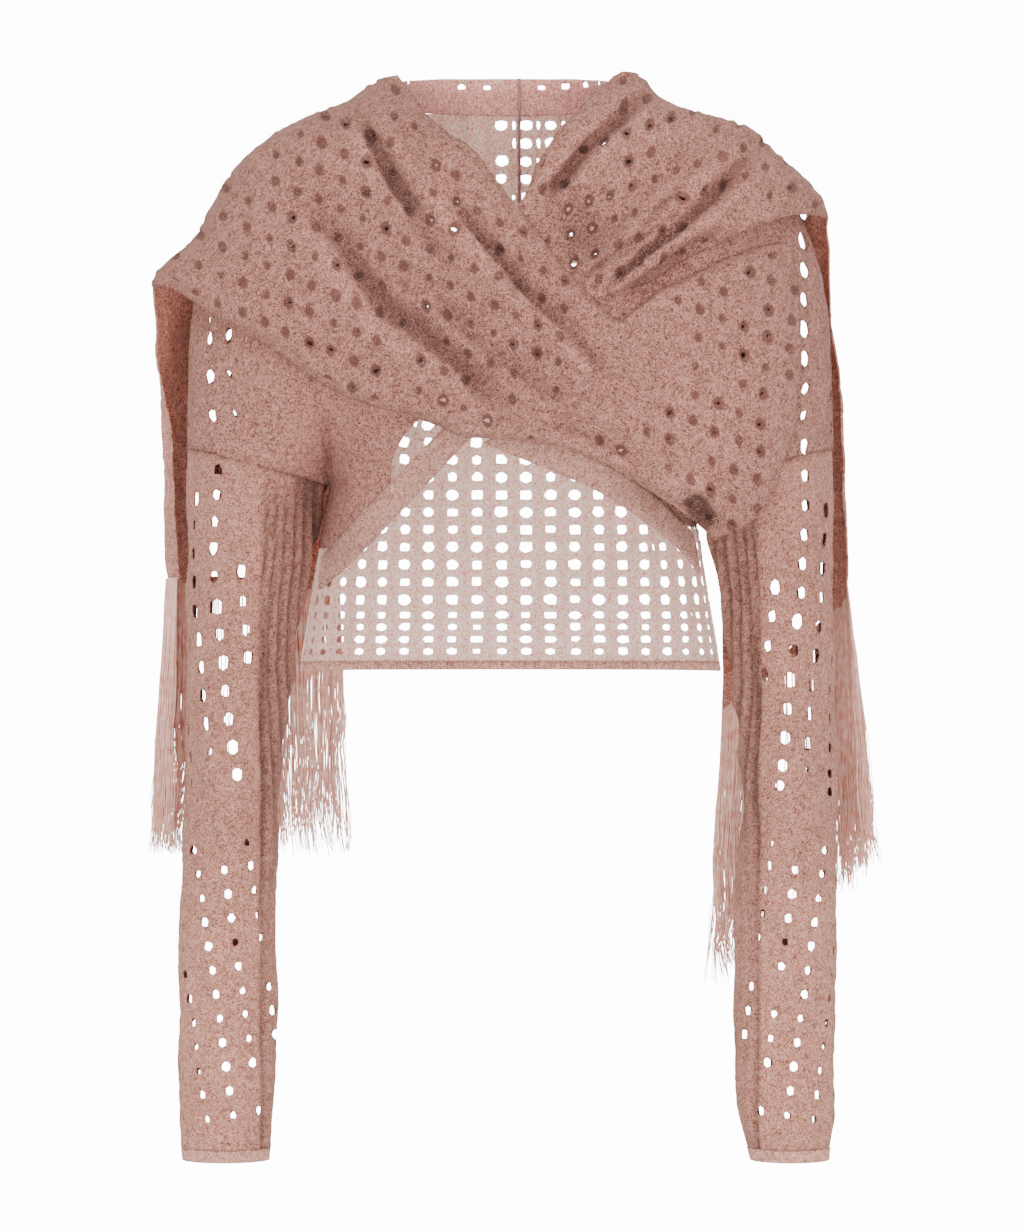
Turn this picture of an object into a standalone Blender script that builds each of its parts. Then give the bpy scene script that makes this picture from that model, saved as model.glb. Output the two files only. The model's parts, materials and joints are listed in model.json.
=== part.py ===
# A cropped open-knit wrap cardigan, filled out as if worn, with no wearer in it.
# Both fronts run on into long ends that cross on the chest, go over the shoulders and hang,
# fringed, behind the arms.
# Metres, +Z up. The front faces -Y, +X is the wearer's left, and the origin lies in the hollow
# between the shoulders.
import math
from collections import namedtuple

import bpy
import bmesh
from mathutils import Vector

# Cloth and seams
WALL = 0.0020
RIB_WALL = 0.0028
SEAM = 0.0003
EDGE_STRIP = 0.0020

# Heights of the cut
TOP_LINE = 0.030
ARMPIT_HEIGHT = -0.235
OVERARM_HEIGHT = -0.209
HEM_HEIGHT = -0.3585
HEM_DEPTH = 0.0062
CUFF_TOP = -0.6975
CUFF_DEPTH = 0.0085

# Widths of the cut
ARMPIT_X = 0.1260
OVERARM_X = 0.2254
HEM_HALF_WIDTH = 0.1465
ARMHOLE_HALF_DEPTH = 0.0680
UNDERARM_RISE = 0.085
UNDERARM_GAP = 0.0022
ROUNDNESS = 2.3

# Neck band
NECK_HALF_WIDTH_RIGHT = 0.0745
NECK_HALF_WIDTH_LEFT = 0.0685
NECK_SIDE_DROP = 0.0075
NECK_DEPTH = 0.0700
NECK_TOP = 0.0555
CENTRE_SEAM_X = 0.0065

# Layers over the panels
UNDER_LAYER = 0.0050
OVER_LAYER = 0.0150
CROSSING_CLEAR = 0.0005
LAP = 0.0026
CURL = 0.014
OVER_WIDTH = 0.19
OVER_LENGTH = 0.42
UNDER_WIDTH = 0.12
UNDER_PUFF = 0.008
ARM_PUFF = 0.006

# How the tails fall from the shoulders
TAIL_CLEAR = 0.0085
TAIL_FALL = 1.7
TAIL_ROUND = 2.6
TAIL_PLEATS = 6.5

# Fringe
LOCKS = 27
LOCK_STEPS = 5
BACKING_DEPTH = 0.004
BACKING_WALL = 0.0028
LOCK_TAPER = 0.45
LOCK_WAVE = 3.3
LOCK_PHASE = 0.35

# Grid sizes
TORSO_COLUMNS = 9
ARM_COLUMNS = 8
YOKE_ROWS = 12
TORSO_ROWS = 6
SLEEVE_ROWS = 17
TAIL_GRID = 14
YOKE_TURN = 0.46
TURN_STEP = 0.1
ROW_EASE = 1.35
ROW_EASE_SHARE = 0.8
SLACK_FADE = 0.35

Section = namedtuple("Section", "height half_width front back")
YOKE = (
    Section(0.045, 0.0700, 0.046, 0.064),
    Section(0.030, 0.1000, 0.060, 0.072),
    Section(0.012, 0.1390, 0.074, 0.080),
    Section(-0.014, 0.1810, 0.084, 0.088),
    Section(-0.035, 0.1965, 0.090, 0.093),
    Section(-0.060, 0.2085, 0.097, 0.098),
    Section(-0.090, 0.2180, 0.103, 0.101),
    Section(-0.130, 0.2235, 0.107, 0.103),
    Section(-0.210, 0.2254, 0.107, 0.102),
    Section(-0.280, 0.2254, 0.100, 0.098),
    Section(-0.370, 0.2254, 0.092, 0.094),
)

Outline = namedtuple("Outline", "x height")
OVER_SHOULDER = (
    Outline(-0.078, 0.0500),
    Outline(-0.097, 0.0455),
    Outline(-0.1115, 0.0350),
    Outline(-0.1290, 0.0285),
    Outline(-0.1460, 0.0215),
    Outline(-0.1720, 0.0060),
    Outline(-0.1880, -0.0075),
    Outline(-0.2010, -0.0250),
    Outline(-0.2130, -0.0480),
    Outline(-0.2240, -0.0650),
    Outline(-0.2400, -0.0785),
    Outline(-0.2490, -0.0880),
    Outline(-0.2510, -0.0960),
)
UNDER_SHOULDER = (
    Outline(0.0720, 0.0490),
    Outline(0.0830, 0.0525),
    Outline(0.0925, 0.0500),
    Outline(0.1030, 0.0385),
    Outline(0.1220, 0.0285),
    Outline(0.1420, 0.0235),
    Outline(0.1640, 0.0170),
    Outline(0.1760, 0.0085),
    Outline(0.1860, -0.0025),
    Outline(0.2010, -0.0150),
    Outline(0.2125, -0.0265),
    Outline(0.2200, -0.0370),
    Outline(0.2225, -0.0480),
)

# Edges of the wraps, seen from the front
OVER_NECK_EDGE = (
    Outline(0.1935, -0.0674),
    Outline(0.1671, -0.0735),
    Outline(0.1421, -0.0840),
    Outline(0.1154, -0.0973),
    Outline(0.0908, -0.1133),
    Outline(0.0751, -0.1241),
    Outline(0.0585, -0.1115),
    Outline(0.0337, -0.0841),
    Outline(0.0035, -0.0450),
    Outline(-0.0264, -0.0074),
    Outline(-0.0541, 0.0154),
    Outline(-0.0776, 0.0482),
)
OVER_LOWER_EDGE = (
    Outline(0.1410, -0.2741),
    Outline(0.1134, -0.2517),
    Outline(0.0977, -0.2420),
    Outline(0.0683, -0.2246),
    Outline(0.0283, -0.2101),
    Outline(-0.0019, -0.2062),
    Outline(-0.0282, -0.2042),
    Outline(-0.0623, -0.1905),
    Outline(-0.1122, -0.1757),
    Outline(-0.1388, -0.1607),
    Outline(-0.1666, -0.1407),
    Outline(-0.2210, -0.1080),
    Outline(-0.2380, -0.0975),
    Outline(-0.2510, -0.0960),
)
OVER_ARM_EDGE = (
    Outline(0.1410, -0.2741),
    Outline(0.1608, -0.2652),
    Outline(0.1768, -0.2465),
    Outline(0.1907, -0.2139),
    Outline(0.1999, -0.1724),
    Outline(0.2010, -0.1230),
    Outline(0.1935, -0.0674),
)
UNDER_NECK_EDGE = (
    Outline(-0.0293, -0.0623),
    Outline(0.0044, -0.0464),
    Outline(0.0236, -0.0074),
    Outline(0.0443, 0.0184),
    Outline(0.0715, 0.0464),
)
UNDER_LOWER_EDGE = (
    Outline(-0.0292, -0.1916),
    Outline(-0.0048, -0.1799),
    Outline(0.0215, -0.1487),
    Outline(0.0468, -0.1155),
    Outline(0.0673, -0.1065),
    Outline(0.0898, -0.1005),
    Outline(0.1164, -0.0844),
    Outline(0.1442, -0.0706),
    Outline(0.1723, -0.0567),
    Outline(0.2002, -0.0486),
    Outline(0.2225, -0.0480),
)
UNDER_HIDDEN_EDGE = (
    Outline(-0.0292, -0.1916),
    Outline(-0.0293, -0.0623),
)

# Creases pressed into the wraps: depth and width of each trough, then the points along it
Crease = namedtuple("Crease", "depth width path")
OVER_CREASES = (
    Crease(0.0080, 0.0070, ((-0.1150, 0.0300), (-0.0843, -0.0221), (-0.0615, -0.0592), (-0.0390, -0.0821))),
    Crease(0.0075, 0.0075, ((-0.0440, -0.0464), (-0.0195, -0.0683), (0.0010, -0.0979), (0.0244, -0.1233))),
    Crease(0.0060, 0.0090, ((-0.1324, -0.0523), (-0.1060, -0.0915), (-0.0878, -0.1182),
                            (-0.0292, -0.1565), (0.0010, -0.1906))),
    Crease(0.0130, 0.0100, ((0.1252, -0.2488), (0.1370, -0.2634))),
)
UNDER_CREASES = (
    Crease(0.0085, 0.0065, ((0.1020, 0.0420), (0.0619, 0.0082), (0.0343, -0.0245), (0.0225, -0.0424))),
    Crease(0.0070, 0.0070, ((0.1780, 0.0080), (0.1306, -0.0373), (0.0890, -0.0758), (0.0683, -0.0977))),
    Crease(0.0050, 0.0075, ((0.1400, 0.0200), (0.0882, -0.0410), (0.0488, -0.0860))),
)

# The lower edges of the two fronts, where their ribbed bands are sewn on
FRONT_SEAM_RIGHT = (
    Outline(0.0732, 0.0262),
    Outline(0.0687, -0.0456),
    Outline(0.0547, -0.1248),
    Outline(0.0410, -0.1922),
    Outline(0.0861, -0.2385),
    Outline(0.1265, -0.2789),
)
FRONT_SEAM_LEFT = (
    Outline(0.0732, 0.0262),
    Outline(0.0687, -0.0456),
    Outline(0.0547, -0.1248),
    Outline(0.0293, -0.2020),
    Outline(0.0684, -0.2219),
    Outline(0.0959, -0.2385),
    Outline(0.1250, -0.2643),
)
BandEnd = namedtuple("BandEnd", "seam_x seam_height free_x free_height")
RIB_RIGHT = (
    BandEnd(-0.0315, -0.1833, -0.0185, -0.1957),
    BandEnd(-0.0857, -0.2385, -0.0723, -0.2517),
    BandEnd(-0.1264, -0.2796, -0.1146, -0.2932),
    BandEnd(-0.1307, -0.2843, -0.1339, -0.3083),
)
RIB_LEFT = (
    BandEnd(0.0127, -0.1947, -0.0175, -0.2085),
    BandEnd(0.0293, -0.2030, 0.0205, -0.2240),
    BandEnd(0.0684, -0.2229, 0.0606, -0.2412),
    BandEnd(0.0959, -0.2394, 0.0891, -0.2588),
    BandEnd(0.1225, -0.2633, 0.1196, -0.2820),
    BandEnd(0.1275, -0.2692, 0.1325, -0.2966),
)

# Sleeves, a row for each height, in x from the centre line
Ring = namedtuple("Ring", "height inner outer half_depth")
SLEEVE_RIGHT = (
    Ring(-0.2350, 0.1272, 0.2254, 0.0680),
    Ring(-0.2420, 0.1290, 0.2254, 0.0665),
    Ring(-0.2700, 0.1345, 0.2255, 0.0600),
    Ring(-0.3150, 0.1437, 0.2258, 0.0540),
    Ring(-0.3600, 0.1505, 0.2260, 0.0500),
    Ring(-0.4100, 0.1580, 0.2265, 0.0465),
    Ring(-0.4600, 0.1622, 0.2275, 0.0435),
    Ring(-0.5250, 0.1638, 0.2310, 0.0410),
    Ring(-0.6000, 0.1632, 0.2320, 0.0390),
    Ring(-0.6650, 0.1650, 0.2320, 0.0375),
    Ring(-0.7100, 0.1690, 0.2290, 0.0350),
)
SLEEVE_LEFT = (
    Ring(-0.2350, 0.1272, 0.2254, 0.0680),
    Ring(-0.2420, 0.1300, 0.2254, 0.0665),
    Ring(-0.2800, 0.1405, 0.2254, 0.0595),
    Ring(-0.3150, 0.1465, 0.2256, 0.0540),
    Ring(-0.3500, 0.1525, 0.2258, 0.0505),
    Ring(-0.4100, 0.1605, 0.2275, 0.0465),
    Ring(-0.4550, 0.1630, 0.2282, 0.0435),
    Ring(-0.5250, 0.1575, 0.2285, 0.0410),
    Ring(-0.6000, 0.1570, 0.2275, 0.0390),
    Ring(-0.6650, 0.1590, 0.2265, 0.0375),
    Ring(-0.7100, 0.1690, 0.2230, 0.0350),
)

# Plan sections of the hanging tails: fraction across from the inner edge, x and y
Across = namedtuple("Across", "fraction x y")
TAIL_RIGHT_PLAN = (
    Across(0.00, -0.1225, 0.1040),
    Across(0.25, -0.1620, 0.1020),
    Across(0.50, -0.2020, 0.0950),
    Across(0.72, -0.2330, 0.0720),
    Across(0.86, -0.2480, 0.0420),
    Across(1.00, -0.2400, 0.0120),
)
TAIL_LEFT_PLAN = (
    Across(0.00, 0.1520, 0.1010),
    Across(0.25, 0.1800, 0.0990),
    Across(0.50, 0.2080, 0.0900),
    Across(0.75, 0.2270, 0.0680),
    Across(0.90, 0.2345, 0.0440),
    Across(1.00, 0.2335, 0.0260),
)
Tail = namedtuple("Tail", "inner_height outer_height outer_lean pleat")
TAIL_RIGHT = Tail(-0.3080, -0.3010, 0.006, 0.0035)
TAIL_LEFT = Tail(-0.3960, -0.3030, 0.004, 0.0030)

Fringe = namedtuple("Fringe", "length spread sway")
FRINGE_RIGHT = Fringe(0.188, 0.006, 0.0035)
FRINGE_LEFT = Fringe(0.192, 0.014, 0.0022)


def clamp(value, low=0.0, high=1.0):
    return max(low, min(high, value))


def mix(a, b, share):
    return a + (b - a) * share


def smooth(share):
    share = clamp(share)
    return share * share * (3 - 2 * share)


def through(xs, ys, x):
    # A smooth line through the points, with no overshoot between them.
    if x <= xs[0]:
        return ys[0]
    if x >= xs[-1]:
        return ys[-1]
    slopes = [(ys[i + 1] - ys[i]) / (xs[i + 1] - xs[i]) for i in range(len(xs) - 1)]
    tangents = [slopes[0]]
    for before, after in zip(slopes, slopes[1:]):
        tangents.append(0.0 if before * after <= 0 else 2 * before * after / (before + after))
    tangents.append(slopes[-1])
    i = max(k for k in range(len(xs) - 1) if x >= xs[k])
    width = xs[i + 1] - xs[i]
    t = (x - xs[i]) / width
    return (ys[i] * (1 + 2 * t) * (1 - t) ** 2 + tangents[i] * width * t * (1 - t) ** 2
            + ys[i + 1] * t * t * (3 - 2 * t) + tangents[i + 1] * width * t * t * (t - 1))


def column(rows, key, name, value):
    ordered = sorted(rows, key=lambda row: getattr(row, key))
    return through([getattr(row, key) for row in ordered], [getattr(row, name) for row in ordered], value)


def along(points, share):
    # The point at a share of an edge's length.
    lengths = [0.0]
    for a, b in zip(points, points[1:]):
        lengths.append(lengths[-1] + math.dist(a, b))
    distance = clamp(share) * lengths[-1]
    return (through(lengths, [p[0] for p in points], distance),
            through(lengths, [p[1] for p in points], distance))


def dome(offset, half_width, depth):
    # Depth of a rounded section at an offset from its middle.
    reach = clamp(abs(offset) / half_width)
    return depth * (1 - reach ** ROUNDNESS) ** (1 / ROUNDNESS)


def half_width(height):
    return column(YOKE, "height", "half_width", height)


def depth_of(height, side):
    return column(YOKE, "height", "front" if side < 0 else "back", height)


def side_seam(height):
    share = (ARMPIT_HEIGHT - height) / (ARMPIT_HEIGHT - HEM_HEIGHT)
    return mix(ARMPIT_X, HEM_HALF_WIDTH, share)


def armhole_height(x):
    # The armhole seam lies in one sloping plane, lowest at the underarm.
    share = clamp((abs(x) - ARMPIT_X) / (OVERARM_X - ARMPIT_X))
    return mix(ARMPIT_HEIGHT, OVERARM_HEIGHT, share)


def body_depth(x, height, side):
    # Distance of a body panel from the plane of the side seams.
    x = abs(x)
    if height <= ARMPIT_HEIGHT:
        return dome(x, side_seam(height), depth_of(height, side))
    if x < ARMPIT_X:
        lower = dome(x, ARMPIT_X, depth_of(ARMPIT_HEIGHT, side))
    else:
        middle = (ARMPIT_X + OVERARM_X) / 2
        reach = clamp(abs(x - middle) / (OVERARM_X - middle))
        lower = ARMHOLE_HALF_DEPTH * math.sqrt(1 - reach * reach)
    rise = clamp((height - armhole_height(x)) / UNDERARM_RISE)
    return mix(lower, dome(x, half_width(height), depth_of(height, side)), 1 - (1 - rise) ** 2)


def trough(x, height, creases):
    # How far the creases press the cloth in at one place.
    total = 0.0
    for crease in creases:
        nearest = 1.0
        place = 0.0
        count = len(crease.path) - 1
        for i, (a, b) in enumerate(zip(crease.path, crease.path[1:])):
            run = (b[0] - a[0], b[1] - a[1])
            t = clamp(((x - a[0]) * run[0] + (height - a[1]) * run[1]) / (run[0] ** 2 + run[1] ** 2))
            gap = math.hypot(x - a[0] - t * run[0], height - a[1] - t * run[1])
            if gap < nearest:
                nearest = gap
                place = (i + t) / count
        fade = min(1.0, 4 * place + 0.3, 4 * (1 - place) + 0.3)
        total += crease.depth * fade * math.exp(-(nearest / crease.width) ** 2)
    return total


def patch(s, t, lower, upper, start, end):
    # A front view place inside four edges: s runs along the cloth and t across it.
    low, high = along(lower, s), along(upper, s)
    first, last = along(start, t), along(end, t)
    corners = (lower[0], lower[-1], upper[0], upper[-1])
    place = []
    for axis in (0, 1):
        flat = ((1 - s) * (1 - t) * corners[0][axis] + s * (1 - t) * corners[1][axis]
                + (1 - s) * t * corners[2][axis] + s * t * corners[3][axis])
        place.append((1 - t) * low[axis] + t * high[axis] + (1 - s) * first[axis] + s * last[axis] - flat)
    return place


def shoulder_reach(rows, height):
    # Half width of a wrap's own outline at a height.
    ordered = sorted((row.height, abs(row.x)) for row in rows if abs(row.x) > 0.09)
    return through([row[0] for row in ordered], [row[1] for row in ordered], height)


def curl(distance, reach=CURL):
    # 0 at a turned edge, 1 once past its round.
    share = clamp(distance / reach)
    return math.sqrt(1 - (1 - share) ** 2)


def over_point(s, t):
    x, height = patch(s, t, OVER_LOWER_EDGE, OVER_NECK_EDGE, OVER_ARM_EDGE, OVER_SHOULDER[::-1])
    reach = half_width(height) + OVER_LAYER
    if x < 0:
        reach = mix(reach, shoulder_reach(OVER_SHOULDER, height), smooth(-x / 0.10))
    edge = min(t, 1 - t) * OVER_WIDTH
    arm = s * OVER_LENGTH
    stand = mix(LAP, OVER_LAYER, curl(edge) * curl(arm, 0.05))
    stand += ARM_PUFF * smooth((x - 0.10) / 0.06) * curl(edge, 0.04) * curl(arm, 0.04)
    stand -= trough(x, height, OVER_CREASES) * curl(edge, 0.03)
    crossing = smooth((0.086 - x) / 0.016) * smooth((x + 0.07) / 0.04)
    stand = max(stand, crossing * (UNDER_LAYER + WALL + CROSSING_CLEAR))
    y = -dome(x, reach, depth_of(height, -1) + stand)
    return x, y, height


def under_point(s, t):
    x, height = patch(s, t, UNDER_LOWER_EDGE, UNDER_NECK_EDGE, UNDER_HIDDEN_EDGE, UNDER_SHOULDER[::-1])
    reach = half_width(height) + UNDER_LAYER
    if x > 0:
        reach = mix(reach, shoulder_reach(UNDER_SHOULDER, height), smooth(x / 0.10))
    above = ((x - 0.0035) * 0.0805 + (height + 0.0385) * 0.0735) / 0.109
    open_part = smooth((above - 0.003) / 0.02)
    edge = min(t, 1 - t) * UNDER_WIDTH
    stand = mix(WALL + SEAM, UNDER_LAYER, smooth(s / 0.15))
    stand += open_part * UNDER_PUFF * curl(edge)
    stand -= open_part * trough(x, height, UNDER_CREASES) * curl(edge, 0.02)
    y = -dome(x, reach, depth_of(height, -1) + stand)
    return x, y, height


def across_plan(plan, share):
    return (through([row.fraction for row in plan], [row.x for row in plan], share),
            through([row.fraction for row in plan], [row.y for row in plan], share))


def tail_point(u, v, shoulder, plan, tail):
    # u runs from the inner to the outer edge and v from the shoulder down.
    top_x, top_height = along(shoulder, u)
    low_x, low_y = across_plan(plan, u)
    low_height = mix(tail.inner_height, tail.outer_height, u)
    height = mix(top_height, low_height, v)
    fall = smooth(v * TAIL_FALL)
    lean = tail.outer_lean * u * smooth((v - 0.3) / 0.7)
    x = mix(top_x, low_x, fall) - math.copysign(lean, -low_x) * (-1 if low_x < 0 else 1)
    round_off = math.sqrt(1 - (1 - clamp(v * TAIL_ROUND)) ** 2)
    back = dome(x, half_width(height) + TAIL_CLEAR, depth_of(height, 1) + TAIL_CLEAR)
    pleats = tail.pleat * (1 + math.sin(u * TAIL_PLEATS * math.pi)) * smooth(v * 1.5)
    y = max(low_y * round_off, back) + pleats
    return x, y, height


def new_material(name, colour, roughness):
    material = bpy.data.materials.new(name)
    material.use_nodes = True
    shader = material.node_tree.nodes["Principled BSDF"]
    shader.inputs["Base Color"].default_value = (*colour, 1)
    shader.inputs["Roughness"].default_value = roughness
    shader.inputs["Metallic"].default_value = 0.0
    return material


def cloth(name, mesh, material, wall, outward):
    # Gives an open surface its wall on the inner side. outward is the way that its faces must look.
    obj = bpy.data.objects.new(name, mesh)
    collection.objects.link(obj)
    mesh.materials.append(material)
    score = sum(face.area * outward(face.center).dot(face.normal) for face in mesh.polygons)
    if score < 0:
        mesh.flip_normals()
    mesh.shade_smooth()
    solid = obj.modifiers.new("Wall", "SOLIDIFY")
    solid.thickness = wall
    solid.offset = -1
    solid.use_quality_normals = True
    solid.thickness_clamp = 0
    return obj


def grid_mesh(name, columns, rows, point, closed=False, keep=None):
    # A grid whose points are placed by a function of the two shares; keep leaves out some faces.
    bm = bmesh.new()
    bmesh.ops.create_grid(bm, x_segments=columns, y_segments=rows, size=0.5)
    places = {}
    for vert in bm.verts:
        i = round((vert.co.x + 0.5) * columns)
        j = round((vert.co.y + 0.5) * rows)
        places[vert] = (i, j)
    if keep:
        unwanted = []
        for face in bm.faces:
            corner = [min(places[v][axis] for v in face.verts) for axis in (0, 1)]
            if not keep(*corner):
                unwanted.append(face)
        bmesh.ops.delete(bm, geom=unwanted, context="FACES")
    for vert in bm.verts:
        vert.co = point(*places[vert])
    if closed:
        bmesh.ops.remove_doubles(bm, verts=bm.verts, dist=0.00005)
    mesh = bpy.data.meshes.new(name)
    bm.to_mesh(mesh)
    bm.free()
    return mesh


def away_from_body(centre):
    # Outward is away from the upright line through the torso or the near arm.
    return Vector((centre.x * 0.5, centre.y, 0.02)).normalized()


def away_from_line(x):
    return lambda centre: Vector((centre.x - x, centre.y, 0)).normalized()


def body_point(c, row, side, hand, inner):
    # One point of a body panel: columns c run from the middle over the torso and on over the arm.
    last = TORSO_COLUMNS
    far = TORSO_COLUMNS + ARM_COLUMNS
    if row < TORSO_ROWS:
        share = (TORSO_ROWS - row) / TORSO_ROWS
        height = mix(ARMPIT_HEIGHT, inner.bottom, share)
        start, stop = inner.x(height), side_seam(height)
        depth = None
        if c >= last - 1:
            x = stop
            slack = UNDERARM_GAP * SLACK_FADE ** (TORSO_ROWS - row)
            depth = SEAM / 2 + slack if c == last else EDGE_STRIP + slack
        else:
            x = stop * math.sin(mix(math.asin(start / stop), math.pi / 2, c / (last - 0.5)))
        if depth is None:
            depth = body_depth(x, height, side)
        return hand * x, side * depth, height
    rise = (row - TORSO_ROWS) / YOKE_ROWS
    rise = mix(rise, 1 - (1 - rise) ** ROW_EASE, ROW_EASE_SHARE)
    if c <= last:
        start = min(inner.x(ARMPIT_HEIGHT), ARMPIT_X)
        low_turn = mix(math.asin(start / ARMPIT_X), math.pi / 2, min(c / (last - 0.5), 1.0))
        low_x = ARMPIT_X * math.sin(low_turn)
    else:
        low_x = mix(ARMPIT_X, OVERARM_X, (1 - math.cos(math.pi * (c - last) / ARM_COLUMNS)) / 2)
        if c == far - 1:
            low_x = OVERARM_X
    low_height = armhole_height(low_x)
    height = mix(low_height, TOP_LINE, rise)
    wide = half_width(height)
    inner_turn = math.asin(clamp(inner.x(height) / wide)) / (math.pi / 2)
    if c <= last:
        turn = mix(inner_turn, max(YOKE_TURN, inner_turn + TURN_STEP), c / last)
    else:
        turn = mix(max(YOKE_TURN, inner_turn + TURN_STEP), 1.0, (c - last) / ARM_COLUMNS)
    spread = smooth((height - low_height) / UNDERARM_RISE)
    x = mix(low_x, wide * math.sin(math.pi / 2 * turn), spread)
    if c >= far - 1:
        x = wide
        return hand * x, side * (SEAM / 2 if c == far else EDGE_STRIP), height
    if row == TORSO_ROWS and c >= last - 1 and c <= last:
        return hand * ARMPIT_X, side * (UNDERARM_GAP + (EDGE_STRIP if c < last else 0)), ARMPIT_HEIGHT
    return hand * x, side * max(body_depth(x, height, side), SEAM / 2), height


class Inner:
    # The inner edge of a body panel: the centre line of the back, or a front's sewn edge.
    def __init__(self, rows, bottom):
        self.rows = rows
        self.bottom = bottom

    def x(self, height):
        if not self.rows:
            return 0.0
        for upper, lower in zip(self.rows, self.rows[1:]):
            if height >= lower.height:
                share = clamp((upper.height - height) / (upper.height - lower.height))
                return mix(upper.x, lower.x, share)
        return self.rows[-1].x


def keep_body(i, j):
    return j >= TORSO_ROWS or i < TORSO_COLUMNS


def make_back(material):
    far = TORSO_COLUMNS + ARM_COLUMNS
    inner = Inner((), HEM_HEIGHT)

    def point(i, j):
        c = i - far
        return body_point(abs(c), j, 1, math.copysign(1, c), inner)

    def keep(i, j):
        c = i - far
        return j >= TORSO_ROWS or -TORSO_COLUMNS <= c < TORSO_COLUMNS

    mesh = grid_mesh("back_panel", 2 * far, TORSO_ROWS + YOKE_ROWS, point, keep=keep)
    cloth("back_panel", mesh, material, WALL, away_from_body)


def make_front(name, hand, rows, material):
    inner = Inner(rows, rows[-1].height)
    mesh = grid_mesh(name, TORSO_COLUMNS + ARM_COLUMNS, TORSO_ROWS + YOKE_ROWS,
                     lambda i, j: body_point(i, j, -1, hand, inner), keep=keep_body)
    cloth(name, mesh, material, WALL, away_from_body)


def make_hem(material):
    def point(i, j):
        height = HEM_HEIGHT - SEAM - HEM_DEPTH * (1 - j / 2)
        c = i - TORSO_COLUMNS
        x = side_seam(height) * math.sin(math.pi / 2 * clamp(abs(c) / (TORSO_COLUMNS - 0.5)))
        depth = body_depth(x, height, 1)
        if abs(c) >= TORSO_COLUMNS - 1:
            x = side_seam(height)
            depth = SEAM / 2 if abs(c) == TORSO_COLUMNS else EDGE_STRIP
        return math.copysign(x, c), depth + 0.0004 * smooth(depth / 0.02), height

    cloth("hem_rib", grid_mesh("hem_rib", 2 * TORSO_COLUMNS, 2, point), material, RIB_WALL, away_from_body)


def make_front_rib(name, ends, material):
    steps = 4 * (len(ends) - 1)

    def point(i, j):
        share = i / steps * (len(ends) - 1)
        keys = list(range(len(ends)))
        seam = [through(keys, [end[k] for end in ends], share) for k in (0, 1)]
        free = [through(keys, [end[k] for end in ends], share) for k in (2, 3)]
        x, height = mix(seam[0], free[0], j / 3), mix(seam[1], free[1], j / 3)
        gap = SEAM * (1 - j / 3)
        return x, -body_depth(x, height - gap, -1), height - gap

    cloth(name, grid_mesh(name, steps, 3, point), material, RIB_WALL, away_from_body)


def make_neck_band(name, hand, material):
    start = CENTRE_SEAM_X + hand * SEAM / 2
    half = NECK_HALF_WIDTH_LEFT if hand > 0 else NECK_HALF_WIDTH_RIGHT
    centre_turn = math.asin(start / half)

    def point(i, j):
        turn = mix(centre_turn + hand * 0.03, hand * math.pi * 0.49, max(0, i - 1) / 8)
        height = mix(TOP_LINE + SEAM, NECK_TOP - NECK_SIDE_DROP * (1 - math.cos(turn)), j / 3)
        flare = mix(1.03, 1.0, j / 3)
        x = start * flare if i == 0 else half * flare * math.sin(turn)
        return x, NECK_DEPTH * flare * math.cos(turn), height

    cloth(name, grid_mesh(name, 9, 3, point), material, RIB_WALL, away_from_body)


def ring_point(rings, hand, turn, height):
    # turn 0 is the outer side of the arm. The top of the sleeve lies in the armhole's sloping plane.
    inner = column(rings, "height", "inner", height)
    outer = column(rings, "height", "outer", height)
    half_depth = column(rings, "height", "half_depth", height)
    middle = (inner + outer) / 2
    x = middle + (outer - middle) * math.cos(turn)
    return x, half_depth * math.sin(turn)


def make_sleeve(name, hand, rings, material):
    around = 2 * ARM_COLUMNS

    def point(i, j):
        turn = 2 * math.pi * (i % around) / around
        share = max(0.0, (j - 1) / (SLEEVE_ROWS - 1)) if j else 0.0
        height = mix(ARMPIT_HEIGHT, CUFF_TOP, share ** 0.92)
        x, y = ring_point(rings, hand, turn, height)
        lift = (armhole_height(x) - ARMPIT_HEIGHT) * (1 - smooth(share * 3.5))
        drop = 0.004 * smooth(j) * (1 - share) ** 3
        slope = (OVERARM_HEIGHT - ARMPIT_HEIGHT) / (OVERARM_X - ARMPIT_X)
        return hand * (x + slope * drop), y, height + lift - SEAM - drop

    mesh = grid_mesh(name, around, SLEEVE_ROWS, point, closed=True)
    cloth(name, mesh, material, WALL, away_from_line(hand * 0.185))


def make_cuff(name, hand, rings, material):
    around = 2 * ARM_COLUMNS

    def point(i, j):
        turn = 2 * math.pi * (i % around) / around
        height = CUFF_TOP - SEAM - 0.0004 - CUFF_DEPTH * j / 2
        x, y = ring_point(rings, hand, turn, height)
        return hand * x, y, height

    mesh = grid_mesh(name, around, 2, point, closed=True)
    cloth(name, mesh, material, RIB_WALL, away_from_line(hand * 0.195))


def make_wrap(name, columns, rows, point, material):
    # The last two columns meet the shoulder line square on, so that the next stretch can be sewn to it.
    def place(i, j):
        t = (1 - math.cos(math.pi * j / rows)) / 2
        t = mix(j / rows, t, 0.5)
        if i >= columns - 1:
            x, _, height = point(1.0, t)
            return x, -(SEAM / 2 if i == columns else EDGE_STRIP), height
        s = i / (columns - 0.6)
        s = mix(s, math.sin(s * math.pi / 2), 0.45)
        return point(s, t)

    cloth(name, grid_mesh(name, columns, rows, place), material, WALL, away_from_body)


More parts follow.
